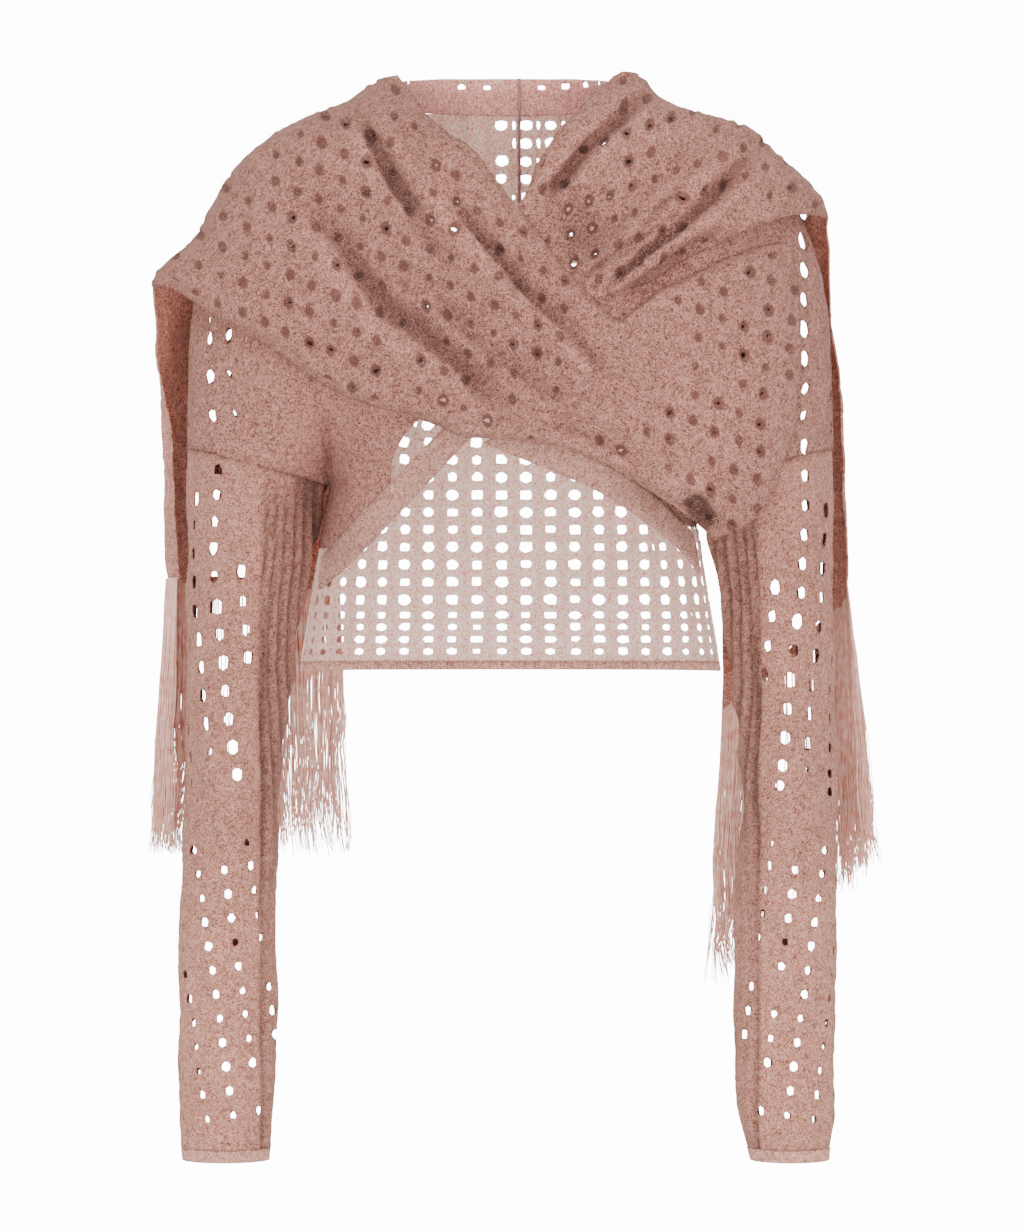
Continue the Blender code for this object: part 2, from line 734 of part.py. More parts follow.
def make_tail(name, shoulder, plan, tail, material):
    def place(i, j):
        u = i / TAIL_GRID
        if j <= 1:
            x, height = along(shoulder, u)
            return x, (SEAM / 2 if j == 0 else EDGE_STRIP), height
        v = ((j - 1) / (TAIL_GRID - 1)) ** 1.8
        return tail_point(u, v, shoulder, plan, tail)

    cloth(name, grid_mesh(name, TAIL_GRID, TAIL_GRID, place), material, WALL, away_from_body)


def make_fringe(name, shoulder, plan, tail, fringe, material):
    # A narrow backing under the tail's edge, with a lock drawn out of every second face of its underside.
    cells = 2 * LOCKS + 1
    bm = bmesh.new()
    hand = -1 if plan[0].x < 0 else 1
    rings = []
    for i in range(cells + 1):
        u = i / cells
        x, y, height = tail_point(u, 1.0, shoulder, plan, tail)
        ahead = tail_point(min(1.0, u + 0.01), 1.0, shoulder, plan, tail)
        behind = tail_point(max(0.0, u - 0.01), 1.0, shoulder, plan, tail)
        run = Vector((ahead[0] - behind[0], ahead[1] - behind[1], 0)).normalized()
        side = Vector((-run.y, run.x, 0)) * hand
        outer = Vector((x, y, height - SEAM - 0.0003)) - side * 0.0002
        inner = outer + side * BACKING_WALL
        down = Vector((0, 0, -BACKING_DEPTH))
        rings.append([bm.verts.new(p) for p in (outer, inner, inner + down, outer + down)])
    undersides = []
    for i in range(cells):
        a, b = rings[i], rings[i + 1]
        for k in range(4):
            face = bm.faces.new((a[k], a[(k + 1) % 4], b[(k + 1) % 4], b[k]))
            if k == 2 and i % 2 == 1:
                undersides.append((i, face))
    bm.faces.new(rings[0][::-1])
    bm.faces.new(rings[-1])
    for i, face in undersides:
        number = (i - 1) // 2
        length = fringe.length * (1 + 0.07 * math.sin(number * 2.4) + 0.04 * math.sin(number * 5.1))
        phase = number * LOCK_PHASE
        share = (number + 0.5) / LOCKS
        for step in range(LOCK_STEPS):
            face = bmesh.ops.extrude_discrete_faces(bm, faces=[face])["faces"][0]
            verts = list(face.verts)
            at = (step + 1) / LOCK_STEPS
            before = (at - 1 / LOCK_STEPS) * LOCK_WAVE
            sway = fringe.sway * (math.sin(phase + at * LOCK_WAVE) - math.sin(phase + before))
            out = fringe.spread * (share - 0.35) * hand * 2 / LOCK_STEPS
            bmesh.ops.translate(bm, verts=verts, vec=(sway + out, sway * 0.6, -length / LOCK_STEPS))
            if step == LOCK_STEPS - 1:
                middle = face.calc_center_median()
                for vert in verts:
                    vert.co = middle.lerp(vert.co, LOCK_TAPER)
    bmesh.ops.recalc_face_normals(bm, faces=bm.faces)
    mesh = bpy.data.meshes.new(name)
    bm.to_mesh(mesh)
    bm.free()
    mesh.materials.append(material)
    obj = bpy.data.objects.new(name, mesh)
    collection.objects.link(obj)


for old in list(bpy.data.objects):
    bpy.data.objects.remove(old, do_unlink=True)
collection = bpy.data.collections.new("wrap_cardigan")
bpy.context.scene.collection.children.link(collection)

KNIT = (0.48, 0.29, 0.25)
RIB = (0.44, 0.25, 0.22)
YARN = (0.66, 0.46, 0.40)

make_back(new_material("back_knit", (0.58, 0.36, 0.35), 0.95))
make_hem(new_material("hem_rib_knit", RIB, 0.9))
make_neck_band("neck_band_right", -1, new_material("neck_band_right_knit", RIB, 0.9))
make_neck_band("neck_band_left", 1, new_material("neck_band_left_knit", RIB, 0.9))
make_front("front_right", -1, FRONT_SEAM_RIGHT, new_material("front_right_knit", KNIT, 0.95))
make_front("front_left", 1, FRONT_SEAM_LEFT, new_material("front_left_knit", KNIT, 0.95))
make_front_rib("front_rib_right", RIB_RIGHT, new_material("front_rib_right_knit", RIB, 0.9))
make_front_rib("front_rib_left", RIB_LEFT, new_material("front_rib_left_knit", RIB, 0.9))
make_wrap("wrap_under", 26, 12, under_point, new_material("wrap_under_knit", KNIT, 0.95))
make_wrap("wrap_over", 34, 14, over_point, new_material("wrap_over_knit", KNIT, 0.95))
make_tail("tail_right", OVER_SHOULDER, TAIL_RIGHT_PLAN, TAIL_RIGHT,
          new_material("tail_right_knit", KNIT, 0.95))
make_tail("tail_left", UNDER_SHOULDER, TAIL_LEFT_PLAN, TAIL_LEFT,
          new_material("tail_left_knit", KNIT, 0.95))
make_fringe("fringe_right", OVER_SHOULDER, TAIL_RIGHT_PLAN, TAIL_RIGHT, FRINGE_RIGHT,
            new_material("fringe_right_yarn", YARN, 0.9))
make_fringe("fringe_left", UNDER_SHOULDER, TAIL_LEFT_PLAN, TAIL_LEFT, FRINGE_LEFT,
            new_material("fringe_left_yarn", YARN, 0.9))
make_sleeve("sleeve_right", -1, SLEEVE_RIGHT, new_material("sleeve_right_knit", KNIT, 0.95))
make_sleeve("sleeve_left", 1, SLEEVE_LEFT, new_material("sleeve_left_knit", KNIT, 0.95))
make_cuff("cuff_right", -1, SLEEVE_RIGHT, new_material("cuff_right_knit", RIB, 0.9))
make_cuff("cuff_left", 1, SLEEVE_LEFT, new_material("cuff_left_knit", RIB, 0.9))
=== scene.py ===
import json
import math
from collections import namedtuple

import bmesh
import bpy
import numpy as np
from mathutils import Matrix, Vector

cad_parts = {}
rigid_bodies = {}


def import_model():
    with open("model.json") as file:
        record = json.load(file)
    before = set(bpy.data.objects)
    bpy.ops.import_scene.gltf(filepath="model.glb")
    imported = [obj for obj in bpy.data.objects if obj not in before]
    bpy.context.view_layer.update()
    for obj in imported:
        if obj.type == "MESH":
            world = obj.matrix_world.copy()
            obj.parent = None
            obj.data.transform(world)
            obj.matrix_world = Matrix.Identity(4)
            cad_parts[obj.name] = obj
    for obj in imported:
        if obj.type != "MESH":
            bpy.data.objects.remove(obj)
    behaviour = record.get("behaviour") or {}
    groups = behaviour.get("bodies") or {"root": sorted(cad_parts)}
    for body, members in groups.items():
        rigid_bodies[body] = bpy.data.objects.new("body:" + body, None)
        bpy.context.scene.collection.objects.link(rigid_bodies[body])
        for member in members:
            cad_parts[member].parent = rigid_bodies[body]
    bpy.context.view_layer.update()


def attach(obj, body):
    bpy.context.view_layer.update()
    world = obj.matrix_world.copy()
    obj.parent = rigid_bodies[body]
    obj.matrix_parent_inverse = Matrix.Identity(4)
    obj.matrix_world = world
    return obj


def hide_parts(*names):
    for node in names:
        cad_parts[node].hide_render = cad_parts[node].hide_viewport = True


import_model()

# Cloth and seams
wall = 0.0020
seam = 0.0003

# Heights of the cut
topLine = 0.030
armpitHeight = -0.235
overarmHeight = -0.209
hemHeight = -0.3585
hemDepth = 0.0062
cuffTop = -0.6975
cuffDepth = 0.0085

# Widths of the cut
armpitX = 0.1260
overarmX = 0.2254
hemHalfWidth = 0.1465
armholeHalfDepth = 0.0680
underarmRise = 0.085
roundness = 2.3

# Neck band
neckHalfWidthRight = 0.0745
neckHalfWidthLeft = 0.0685
neckSideDrop = 0.0075
neckDepth = 0.0700
neckTop = 0.0555
neckFlare = 1.03
centreSeamX = 0.0065

# Layers over the panels
underLayer = 0.0050
overLayer = 0.0150
crossingClear = 0.0005
crossingZone = {"left": 0.086, "leftFade": 0.016, "right": -0.07, "rightFade": 0.04}
lap = 0.0026
curlReach = 0.014
armCurl = 0.05
puffCurl = 0.04
creaseCurl = 0.03
underCreaseCurl = 0.02
shoulderBlend = 0.10
overWidth = 0.19
overLength = 0.42
underWidth = 0.12
underPuff = 0.008
armPuff = 0.006
armPuffFrom = 0.10
armPuffReach = 0.06

# How the tails fall from the shoulders
tailClear = 0.0085
tailFall = 1.7
tailRound = 2.6
tailPleats = 6.5

# How the panels turn over the shoulders
yokeTurn = 0.46
turnStep = 0.1
rowEase = 1.35
rowEaseShare = 0.8


def table(kind, *values):
    return tuple(kind(*value) for value in values)


Section = namedtuple("Section", "height halfWidth front back")
yoke = table(Section, (0.045, 0.07, 0.046, 0.064), (0.03, 0.1, 0.06, 0.072), (0.012, 0.139, 0.074, 0.08),
    (-0.014, 0.181, 0.084, 0.088), (-0.035, 0.1965, 0.09, 0.093), (-0.06, 0.2085, 0.097, 0.098),
    (-0.09, 0.218, 0.103, 0.101), (-0.13, 0.2235, 0.107, 0.103), (-0.21, 0.2254, 0.107, 0.102),
    (-0.28, 0.2254, 0.1, 0.098), (-0.37, 0.2254, 0.092, 0.094))

Outline = namedtuple("Outline", "x height")
overShoulder = table(Outline, (-0.078, 0.05), (-0.097, 0.0455), (-0.1115, 0.035), (-0.129, 0.0285),
    (-0.146, 0.0215), (-0.172, 0.006), (-0.188, -0.0075), (-0.201, -0.025), (-0.213, -0.048),
    (-0.224, -0.065), (-0.24, -0.0785), (-0.249, -0.088), (-0.251, -0.096))
underShoulder = table(Outline, (0.072, 0.049), (0.083, 0.0525), (0.0925, 0.05), (0.103, 0.0385),
    (0.122, 0.0285), (0.142, 0.0235), (0.164, 0.017), (0.176, 0.0085), (0.186, -0.0025), (0.201, -0.015),
    (0.2125, -0.0265), (0.22, -0.037), (0.2225, -0.048))

# Edges of the wraps, seen from the front
overNeckEdge = table(Outline, (0.1935, -0.0674), (0.1671, -0.0735), (0.1421, -0.084), (0.1154, -0.0973),
    (0.0908, -0.1133), (0.0751, -0.1241), (0.0585, -0.1115), (0.0337, -0.0841), (0.0035, -0.045),
    (-0.0264, -0.0074), (-0.0541, 0.0154), (-0.0776, 0.0482))
overLowerEdge = table(Outline, (0.141, -0.2741), (0.1134, -0.2517), (0.0977, -0.242), (0.0683, -0.2246),
    (0.0283, -0.2101), (-0.0019, -0.2062), (-0.0282, -0.2042), (-0.0623, -0.1905), (-0.1122, -0.1757),
    (-0.1388, -0.1607), (-0.1666, -0.1407), (-0.221, -0.108), (-0.238, -0.0975), (-0.251, -0.096))
overArmEdge = table(Outline, (0.141, -0.2741), (0.1608, -0.2652), (0.1768, -0.2465), (0.1907, -0.2139),
    (0.1999, -0.1724), (0.201, -0.123), (0.1935, -0.0674))
underNeckEdge = table(Outline, (-0.0293, -0.0623), (0.0044, -0.0464), (0.0236, -0.0074), (0.0443, 0.0184),
    (0.0715, 0.0464))
underLowerEdge = table(Outline, (-0.0292, -0.1916), (-0.0048, -0.1799), (0.0215, -0.1487), (0.0468, -0.1155),
    (0.0673, -0.1065), (0.0898, -0.1005), (0.1164, -0.0844), (0.1442, -0.0706), (0.1723, -0.0567),
    (0.2002, -0.0486), (0.2225, -0.048))
underHiddenEdge = table(Outline, (-0.0292, -0.1916), (-0.0293, -0.0623))

# Creases pressed into the wraps: depth and width of each trough, then the points along it
Crease = namedtuple("Crease", "depth width path")
overCreases = (
    Crease(0.0080, 0.0070, ((-0.1150, 0.0300), (-0.0843, -0.0221), (-0.0615, -0.0592), (-0.0390, -0.0821))),
    Crease(0.0075, 0.0075, ((-0.0440, -0.0464), (-0.0195, -0.0683), (0.0010, -0.0979), (0.0244, -0.1233))),
    Crease(0.0060, 0.0090, ((-0.1324, -0.0523), (-0.1060, -0.0915), (-0.0878, -0.1182),
                            (-0.0292, -0.1565), (0.0010, -0.1906))),
    Crease(0.0130, 0.0100, ((0.1252, -0.2488), (0.1370, -0.2634))),
)
underCreases = (
    Crease(0.0085, 0.0065, ((0.1020, 0.0420), (0.0619, 0.0082), (0.0343, -0.0245), (0.0225, -0.0424))),
    Crease(0.0070, 0.0070, ((0.1780, 0.0080), (0.1306, -0.0373), (0.0890, -0.0758), (0.0683, -0.0977))),
    Crease(0.0050, 0.0075, ((0.1400, 0.0200), (0.0882, -0.0410), (0.0488, -0.0860))),
)

# Finer folds that only the finished cloth has: lift above or below it and width, in the front view
Fold = namedtuple("Fold", "lift width path")
overFolds = (
    Fold(-0.0030, 0.0045, ((-0.1050, 0.0220), (-0.0889, -0.0105), (-0.0791, -0.0285), (-0.0637, -0.0476))),
    Fold(-0.0030, 0.0045, ((-0.0430, -0.0285), (-0.0294, -0.0518), (-0.0084, -0.0756), (0.0123, -0.1001),
                           (0.0371, -0.1225), (0.0581, -0.1463), (0.0662, -0.1561))),
    Fold(-0.0028, 0.0060, ((-0.1428, -0.0413), (-0.1204, -0.0637), (-0.1064, -0.0854), (-0.0861, -0.1134),
                           (-0.0560, -0.1330), (-0.0315, -0.1554), (-0.0112, -0.1792))),
    Fold(0.0022, 0.0050, ((-0.0960, 0.0250), (-0.0730, -0.0060), (-0.0560, -0.0320), (-0.0300, -0.0640),
                          (-0.0020, -0.0980), (0.0300, -0.1330))),
    Fold(0.0020, 0.0060, ((-0.1540, -0.0420), (-0.1300, -0.0720), (-0.1150, -0.0960), (-0.0960, -0.1250),
                          (-0.0640, -0.1490))),
    Fold(-0.0018, 0.0050, ((-0.0500, -0.1050), (-0.0250, -0.1330), (0.0050, -0.1560), (0.0380, -0.1800))),
    Fold(-0.0016, 0.0050, ((0.0250, -0.1900), (0.0620, -0.2040), (0.0900, -0.2180))),
    Fold(-0.0060, 0.0065, ((0.1250, -0.2440), (0.1330, -0.2560), (0.1390, -0.2680))),
    Fold(0.0030, 0.0050, ((0.1080, -0.2240), (0.1350, -0.2370), (0.1490, -0.2560))),
)
underFolds = (
    Fold(-0.0030, 0.0038, ((0.0938, 0.0406), (0.0672, 0.0154), (0.0504, 0.0014), (0.0378, -0.0154),
                           (0.0259, -0.0294))),
    Fold(0.0026, 0.0040, ((0.1021, 0.0301), (0.0742, 0.0049), (0.0567, -0.0112), (0.0455, -0.0280))),
    Fold(-0.0035, 0.0036, ((0.1659, -0.0049), (0.1365, -0.0357), (0.1141, -0.0581), (0.0938, -0.0728),
                           (0.0672, -0.0994))),
    Fold(0.0040, 0.0042, ((0.1596, 0.0014), (0.1288, -0.0273), (0.0980, -0.0518), (0.0672, -0.0812),
                          (0.0546, -0.0910))),
    Fold(0.0032, 0.0042, ((0.1883, -0.0049), (0.1491, -0.0420), (0.1183, -0.0623), (0.0875, -0.0847),
                          (0.0707, -0.1015))),
    Fold(-0.0028, 0.0034, ((0.1500, -0.0540), (0.1288, -0.0644), (0.1078, -0.0791), (0.0707, -0.1078))),
    Fold(-0.0030, 0.0034, ((0.1250, -0.0180), (0.0896, -0.0588), (0.0700, -0.0760), (0.0525, -0.0893))),
)

# Where the eyelets of the arms lie: the main column's distance from the middle, and each row's height
Column = namedtuple("Column", "height x")
armColumnRight = table(Column, (0.0, 0.21), (-0.168, 0.21), (-0.224, 0.2047), (-0.2597, 0.2069),
    (-0.2789, 0.2079), (-0.32, 0.2056), (-0.339, 0.2034), (-0.3794, 0.1992), (-0.4193, 0.1941),
    (-0.4378, 0.1907), (-0.4872, 0.1834), (-0.6216, 0.1635), (-0.71, 0.151))
armColumnLeft = table(Column, (0.0, 0.205), (-0.2078, 0.2063), (-0.2695, 0.2062), (-0.3098, 0.2039),
    (-0.371, 0.196), (-0.434, 0.1905), (-0.4872, 0.1834), (-0.6216, 0.1635), (-0.71, 0.151))
Row = namedtuple("Row", "number height")
armRowsRight = table(Row, (-15, 0.031), (-12, -0.025), (-7, -0.1183), (-4, -0.1589), (-2, -0.1855),
    (-1, -0.2047), (0, -0.224), (1, -0.2414), (2, -0.2597), (3, -0.2789), (4, -0.2989), (5, -0.3199),
    (6, -0.3392), (7, -0.3591), (11, -0.4378), (14, -0.4844), (27, -0.7035))
armRowsLeft = table(Row, (-13, 0.039), (-10, -0.0227), (-1, -0.2077), (0, -0.2281), (2, -0.2695),
    (4, -0.3098), (7, -0.371), (10, -0.4319), (14, -0.4844), (27, -0.7035))

# The lower edges of the two fronts, where their ribbed bands are sewn on
frontSeamRight = table(Outline, (0.0732, 0.0262), (0.0687, -0.0456), (0.0547, -0.1248), (0.041, -0.1922),
    (0.0861, -0.2385), (0.1265, -0.2789))
frontSeamLeft = table(Outline, (0.0732, 0.0262), (0.0687, -0.0456), (0.0547, -0.1248), (0.0293, -0.202),
    (0.0684, -0.2219), (0.0959, -0.2385), (0.125, -0.2643))
BandEnd = namedtuple("BandEnd", "seamX seamHeight freeX freeHeight")
ribRight = table(BandEnd, (-0.0315, -0.1833, -0.0185, -0.1957), (-0.0857, -0.2385, -0.0723, -0.2517),
    (-0.1264, -0.2796, -0.1146, -0.2932), (-0.1307, -0.2843, -0.1339, -0.3083))
ribLeft = table(BandEnd, (0.0127, -0.1947, -0.0175, -0.2085), (0.0293, -0.203, 0.0205, -0.224),
    (0.0684, -0.2229, 0.0606, -0.2412), (0.0959, -0.2394, 0.0891, -0.2588), (0.1225, -0.2633, 0.1196, -0.282),
    (0.1275, -0.2692, 0.1325, -0.2966))

# Sleeves, a row for each height, in x from the centre line
Ring = namedtuple("Ring", "height inner outer halfDepth")
sleeveRight = table(Ring, (-0.235, 0.1272, 0.2254, 0.068), (-0.242, 0.129, 0.2254, 0.0665),
    (-0.27, 0.1345, 0.2255, 0.06), (-0.315, 0.1437, 0.2258, 0.054), (-0.36, 0.1505, 0.226, 0.05),
    (-0.41, 0.158, 0.2265, 0.0465), (-0.46, 0.1622, 0.2275, 0.0435), (-0.525, 0.1638, 0.231, 0.041),
    (-0.6, 0.1632, 0.232, 0.039), (-0.665, 0.165, 0.232, 0.0375), (-0.71, 0.169, 0.229, 0.035))
sleeveLeft = table(Ring, (-0.235, 0.1272, 0.2254, 0.068), (-0.242, 0.13, 0.2254, 0.0665),
    (-0.28, 0.1405, 0.2254, 0.0595), (-0.315, 0.1465, 0.2256, 0.054), (-0.35, 0.1525, 0.2258, 0.0505),
    (-0.41, 0.1605, 0.2275, 0.0465), (-0.455, 0.163, 0.2282, 0.0435), (-0.525, 0.1575, 0.2285, 0.041),
    (-0.6, 0.157, 0.2275, 0.039), (-0.665, 0.159, 0.2265, 0.0375), (-0.71, 0.169, 0.223, 0.035))

# Plan sections of the hanging tails: fraction across from the inner edge, x and y
Across = namedtuple("Across", "fraction x y")
tailRightPlan = table(Across, (0.0, -0.1225, 0.104), (0.25, -0.162, 0.102), (0.5, -0.202, 0.095),
    (0.72, -0.233, 0.072), (0.86, -0.248, 0.042), (1.0, -0.24, 0.012))
tailLeftPlan = table(Across, (0.0, 0.152, 0.101), (0.25, 0.18, 0.099), (0.5, 0.208, 0.09),
    (0.75, 0.227, 0.068), (0.9, 0.2345, 0.044), (1.0, 0.2335, 0.026))
Tail = namedtuple("Tail", "innerHeight outerHeight outerLean pleat")
tailRight = Tail(-0.3080, -0.3010, 0.006, 0.0035)
tailLeft = Tail(-0.3960, -0.3030, 0.004, 0.0030)

Fringe = namedtuple("Fringe", "length spread")
fringeRight = Fringe(0.188, 0.006)
fringeLeft = Fringe(0.192, 0.014)


def clamp(value, low=0.0, high=1.0):
    return max(low, min(high, value))


def mix(a, b, share):
    return a + (b - a) * share


def smooth(share):
    share = clamp(share)
    return share * share * (3 - 2 * share)


def through(xs, ys, x):
    # A smooth line through the points, with no overshoot between them.
    if x <= xs[0]:
        return ys[0]
    if x >= xs[-1]:
        return ys[-1]
    slopes = [(ys[i + 1] - ys[i]) / (xs[i + 1] - xs[i]) for i in range(len(xs) - 1)]
    tangents = [slopes[0]]
    for before, after in zip(slopes, slopes[1:]):
        tangents.append(0.0 if before * after <= 0 else 2 * before * after / (before + after))
    tangents.append(slopes[-1])
    i = max(k for k in range(len(xs) - 1) if x >= xs[k])
    width = xs[i + 1] - xs[i]
    t = (x - xs[i]) / width
    return (ys[i] * (1 + 2 * t) * (1 - t) ** 2 + tangents[i] * width * t * (1 - t) ** 2
            + ys[i + 1] * t * t * (3 - 2 * t) + tangents[i + 1] * width * t * t * (t - 1))


def column(rows, key, name, value):
    ordered = sorted(rows, key=lambda row: getattr(row, key))
    return through([getattr(row, key) for row in ordered], [getattr(row, name) for row in ordered], value)


def along(points, share):
    # The point at a share of an edge's length.
    lengths = [0.0]
    for a, b in zip(points, points[1:]):
        lengths.append(lengths[-1] + math.dist(a, b))
    distance = clamp(share) * lengths[-1]
    return (through(lengths, [p[0] for p in points], distance),
            through(lengths, [p[1] for p in points], distance))


def dome(offset, halfWidth, depth):
    # Depth of a rounded section at an offset from its middle.
    reach = clamp(abs(offset) / halfWidth)
    return depth * (1 - reach ** roundness) ** (1 / roundness)


def halfWidth(height):
    return column(yoke, "height", "halfWidth", height)


def depthOf(height, side):
    return column(yoke, "height", "front" if side < 0 else "back", height)


def sideSeam(height):
    share = (armpitHeight - height) / (armpitHeight - hemHeight)
    return mix(armpitX, hemHalfWidth, share)


def armholeHeight(x):
    # The armhole seam lies in one sloping plane, lowest at the underarm.
    share = clamp((abs(x) - armpitX) / (overarmX - armpitX))
    return mix(armpitHeight, overarmHeight, share)


def bodyDepth(x, height, side):
    # Distance of a body panel from the plane of the side seams.
    x = abs(x)
    if height <= armpitHeight:
        return dome(x, sideSeam(height), depthOf(height, side))
    if x < armpitX:
        lower = dome(x, armpitX, depthOf(armpitHeight, side))
    else:
        middle = (armpitX + overarmX) / 2
        reach = clamp(abs(x - middle) / (overarmX - middle))
        lower = armholeHalfDepth * math.sqrt(1 - reach * reach)
    rise = clamp((height - armholeHeight(x)) / underarmRise)
    return mix(lower, dome(x, halfWidth(height), depthOf(height, side)), 1 - (1 - rise) ** 2)


def trough(x, height, creases):
    # How far the creases press the cloth in at one place.
    total = 0.0
    for crease in creases:
        nearest = 1.0
        place = 0.0
        count = len(crease.path) - 1
        for i, (a, b) in enumerate(zip(crease.path, crease.path[1:])):
            run = (b[0] - a[0], b[1] - a[1])
            t = clamp(((x - a[0]) * run[0] + (height - a[1]) * run[1]) / (run[0] ** 2 + run[1] ** 2))
            gap = math.hypot(x - a[0] - t * run[0], height - a[1] - t * run[1])
            if gap < nearest:
                nearest = gap
                place = (i + t) / count
        fade = min(1.0, 4 * place + 0.3, 4 * (1 - place) + 0.3)
        total += crease.depth * fade * math.exp(-(nearest / crease.width) ** 2)
    return total


def patch(s, t, lower, upper, start, end):
    # A front view place inside four edges: s runs along the cloth and t across it.
    low, high = along(lower, s), along(upper, s)
    first, last = along(start, t), along(end, t)
    corners = (lower[0], lower[-1], upper[0], upper[-1])
    place = []
    for axis in (0, 1):
        flat = ((1 - s) * (1 - t) * corners[0][axis] + s * (1 - t) * corners[1][axis]
                + (1 - s) * t * corners[2][axis] + s * t * corners[3][axis])
        place.append((1 - t) * low[axis] + t * high[axis] + (1 - s) * first[axis] + s * last[axis] - flat)
    return place


def shoulderReach(rows, height):
    # Half width of a wrap's own outline at a height.
    ordered = sorted((row.height, abs(row.x)) for row in rows if abs(row.x) > 0.09)
    return through([row[0] for row in ordered], [row[1] for row in ordered], height)


def curl(distance, reach=curlReach):
    # 0 at a turned edge, 1 once past its round.
    share = clamp(distance / reach)
    return math.sqrt(1 - (1 - share) ** 2)


def overPoint(s, t):
    x, height = patch(s, t, overLowerEdge, overNeckEdge, overArmEdge, overShoulder[::-1])
    reach = halfWidth(height) + overLayer
    if x < 0:
        reach = mix(reach, shoulderReach(overShoulder, height), smooth(-x / shoulderBlend))
    edge = min(t, 1 - t) * overWidth
    arm = s * overLength
    stand = mix(lap, overLayer, curl(edge) * curl(arm, armCurl))
    stand += armPuff * smooth((x - armPuffFrom) / armPuffReach) * curl(edge, puffCurl) * curl(arm, puffCurl)
    stand -= trough(x, height, overCreases) * curl(edge, creaseCurl)
    crossing = (smooth((crossingZone["left"] - x) / crossingZone["leftFade"])
                * smooth((x - crossingZone["right"]) / crossingZone["rightFade"]))
    stand = max(stand, crossing * (underLayer + wall + crossingClear))
    y = -dome(x, reach, depthOf(height, -1) + stand)
    return x, y, height


def underPoint(s, t):
    x, height = patch(s, t, underLowerEdge, underNeckEdge, underHiddenEdge, underShoulder[::-1])
    reach = halfWidth(height) + underLayer
    if x > 0:
        reach = mix(reach, shoulderReach(underShoulder, height), smooth(x / shoulderBlend))
    above = ((x - 0.0035) * 0.0805 + (height + 0.0385) * 0.0735) / 0.109  # distance past the upper wrap's edge
    openPart = smooth((above - 0.003) / 0.02)
    edge = min(t, 1 - t) * underWidth
    stand = mix(wall + seam, underLayer, smooth(s / 0.15))
    stand += openPart * underPuff * curl(edge)
    stand -= openPart * trough(x, height, underCreases) * curl(edge, underCreaseCurl)
    y = -dome(x, reach, depthOf(height, -1) + stand)
    return x, y, height


def acrossPlan(plan, share):
    return (through([row.fraction for row in plan], [row.x for row in plan], share),
            through([row.fraction for row in plan], [row.y for row in plan], share))


def tailPoint(u, v, shoulder, plan, tail):
    # u runs from the inner to the outer edge and v from the shoulder down.
    topX, topHeight = along(shoulder, u)
    lowX, lowY = acrossPlan(plan, u)
    lowHeight = mix(tail.innerHeight, tail.outerHeight, u)
    height = mix(topHeight, lowHeight, v)
    fall = smooth(v * tailFall)
    lean = tail.outerLean * u * smooth((v - 0.3) / 0.7)
    x = mix(topX, lowX, fall) - math.copysign(lean, -lowX) * (-1 if lowX < 0 else 1)
    roundOff = math.sqrt(1 - (1 - clamp(v * tailRound)) ** 2)
    back = dome(x, halfWidth(height) + tailClear, depthOf(height, 1) + tailClear)
    pleats = tail.pleat * (1 + math.sin(u * tailPleats * math.pi)) * smooth(v * 1.5)
    y = max(lowY * roundOff, back) + pleats
    return x, y, height


class Inner:
    # The inner edge of a body panel: the centre line of the back, or a front's sewn edge.
    def __init__(self, rows, bottom):
        self.rows = rows
        self.bottom = bottom

    def x(self, height):
        if not self.rows:
            return 0.0
        for upper, lower in zip(self.rows, self.rows[1:]):
            if height >= lower.height:
                share = clamp((upper.height - height) / (upper.height - lower.height))
                return mix(upper.x, lower.x, share)
        return self.rows[-1].x


def ringPoint(rings, turn, height):
    # turn 0 is the outer side of the arm. The top of the sleeve lies in the armhole's sloping plane.
    inner = column(rings, "height", "inner", height)
    outer = column(rings, "height", "outer", height)
    halfDepth = column(rings, "height", "halfDepth", height)
    middle = (inner + outer) / 2
    x = middle + (outer - middle) * math.cos(turn)
    return x, halfDepth * math.sin(turn)


def panelPoint(c, r, side, hand, inner):  # c: 0 to 1 torso, to 2 arm; r: 0 to 1 hem to underarm, to 2 shoulder
    if r < 1:
        height = mix(inner.bottom, armpitHeight, r)
        start, stop = inner.x(height), sideSeam(height)
        x = stop * math.sin(mix(math.asin(start / stop), math.pi / 2, min(c, 1.0)))
        return hand * x, side * max(bodyDepth(x, height, side), seam / 2), height
    rise = r - 1
    rise = mix(rise, 1 - (1 - rise) ** rowEase, rowEaseShare)
    if c <= 1:
        start = min(inner.x(armpitHeight), armpitX)
        lowX = armpitX * math.sin(mix(math.asin(start / armpitX), math.pi / 2, c))
    else:
        lowX = mix(armpitX, overarmX, (1 - math.cos(math.pi * (c - 1))) / 2)
    lowHeight = armholeHeight(lowX)
    height = mix(lowHeight, topLine, rise)
    wide = halfWidth(height)
    innerTurn = math.asin(clamp(inner.x(height) / wide)) / (math.pi / 2)
    armTurn = max(yokeTurn, innerTurn + turnStep)
    turn = mix(innerTurn, armTurn, c) if c <= 1 else mix(armTurn, 1.0, c - 1)
    spread = smooth((height - lowHeight) / underarmRise)
    x = mix(lowX, wide * math.sin(math.pi / 2 * turn), spread)
    return hand * x, side * max(bodyDepth(x, height, side), seam / 2), height


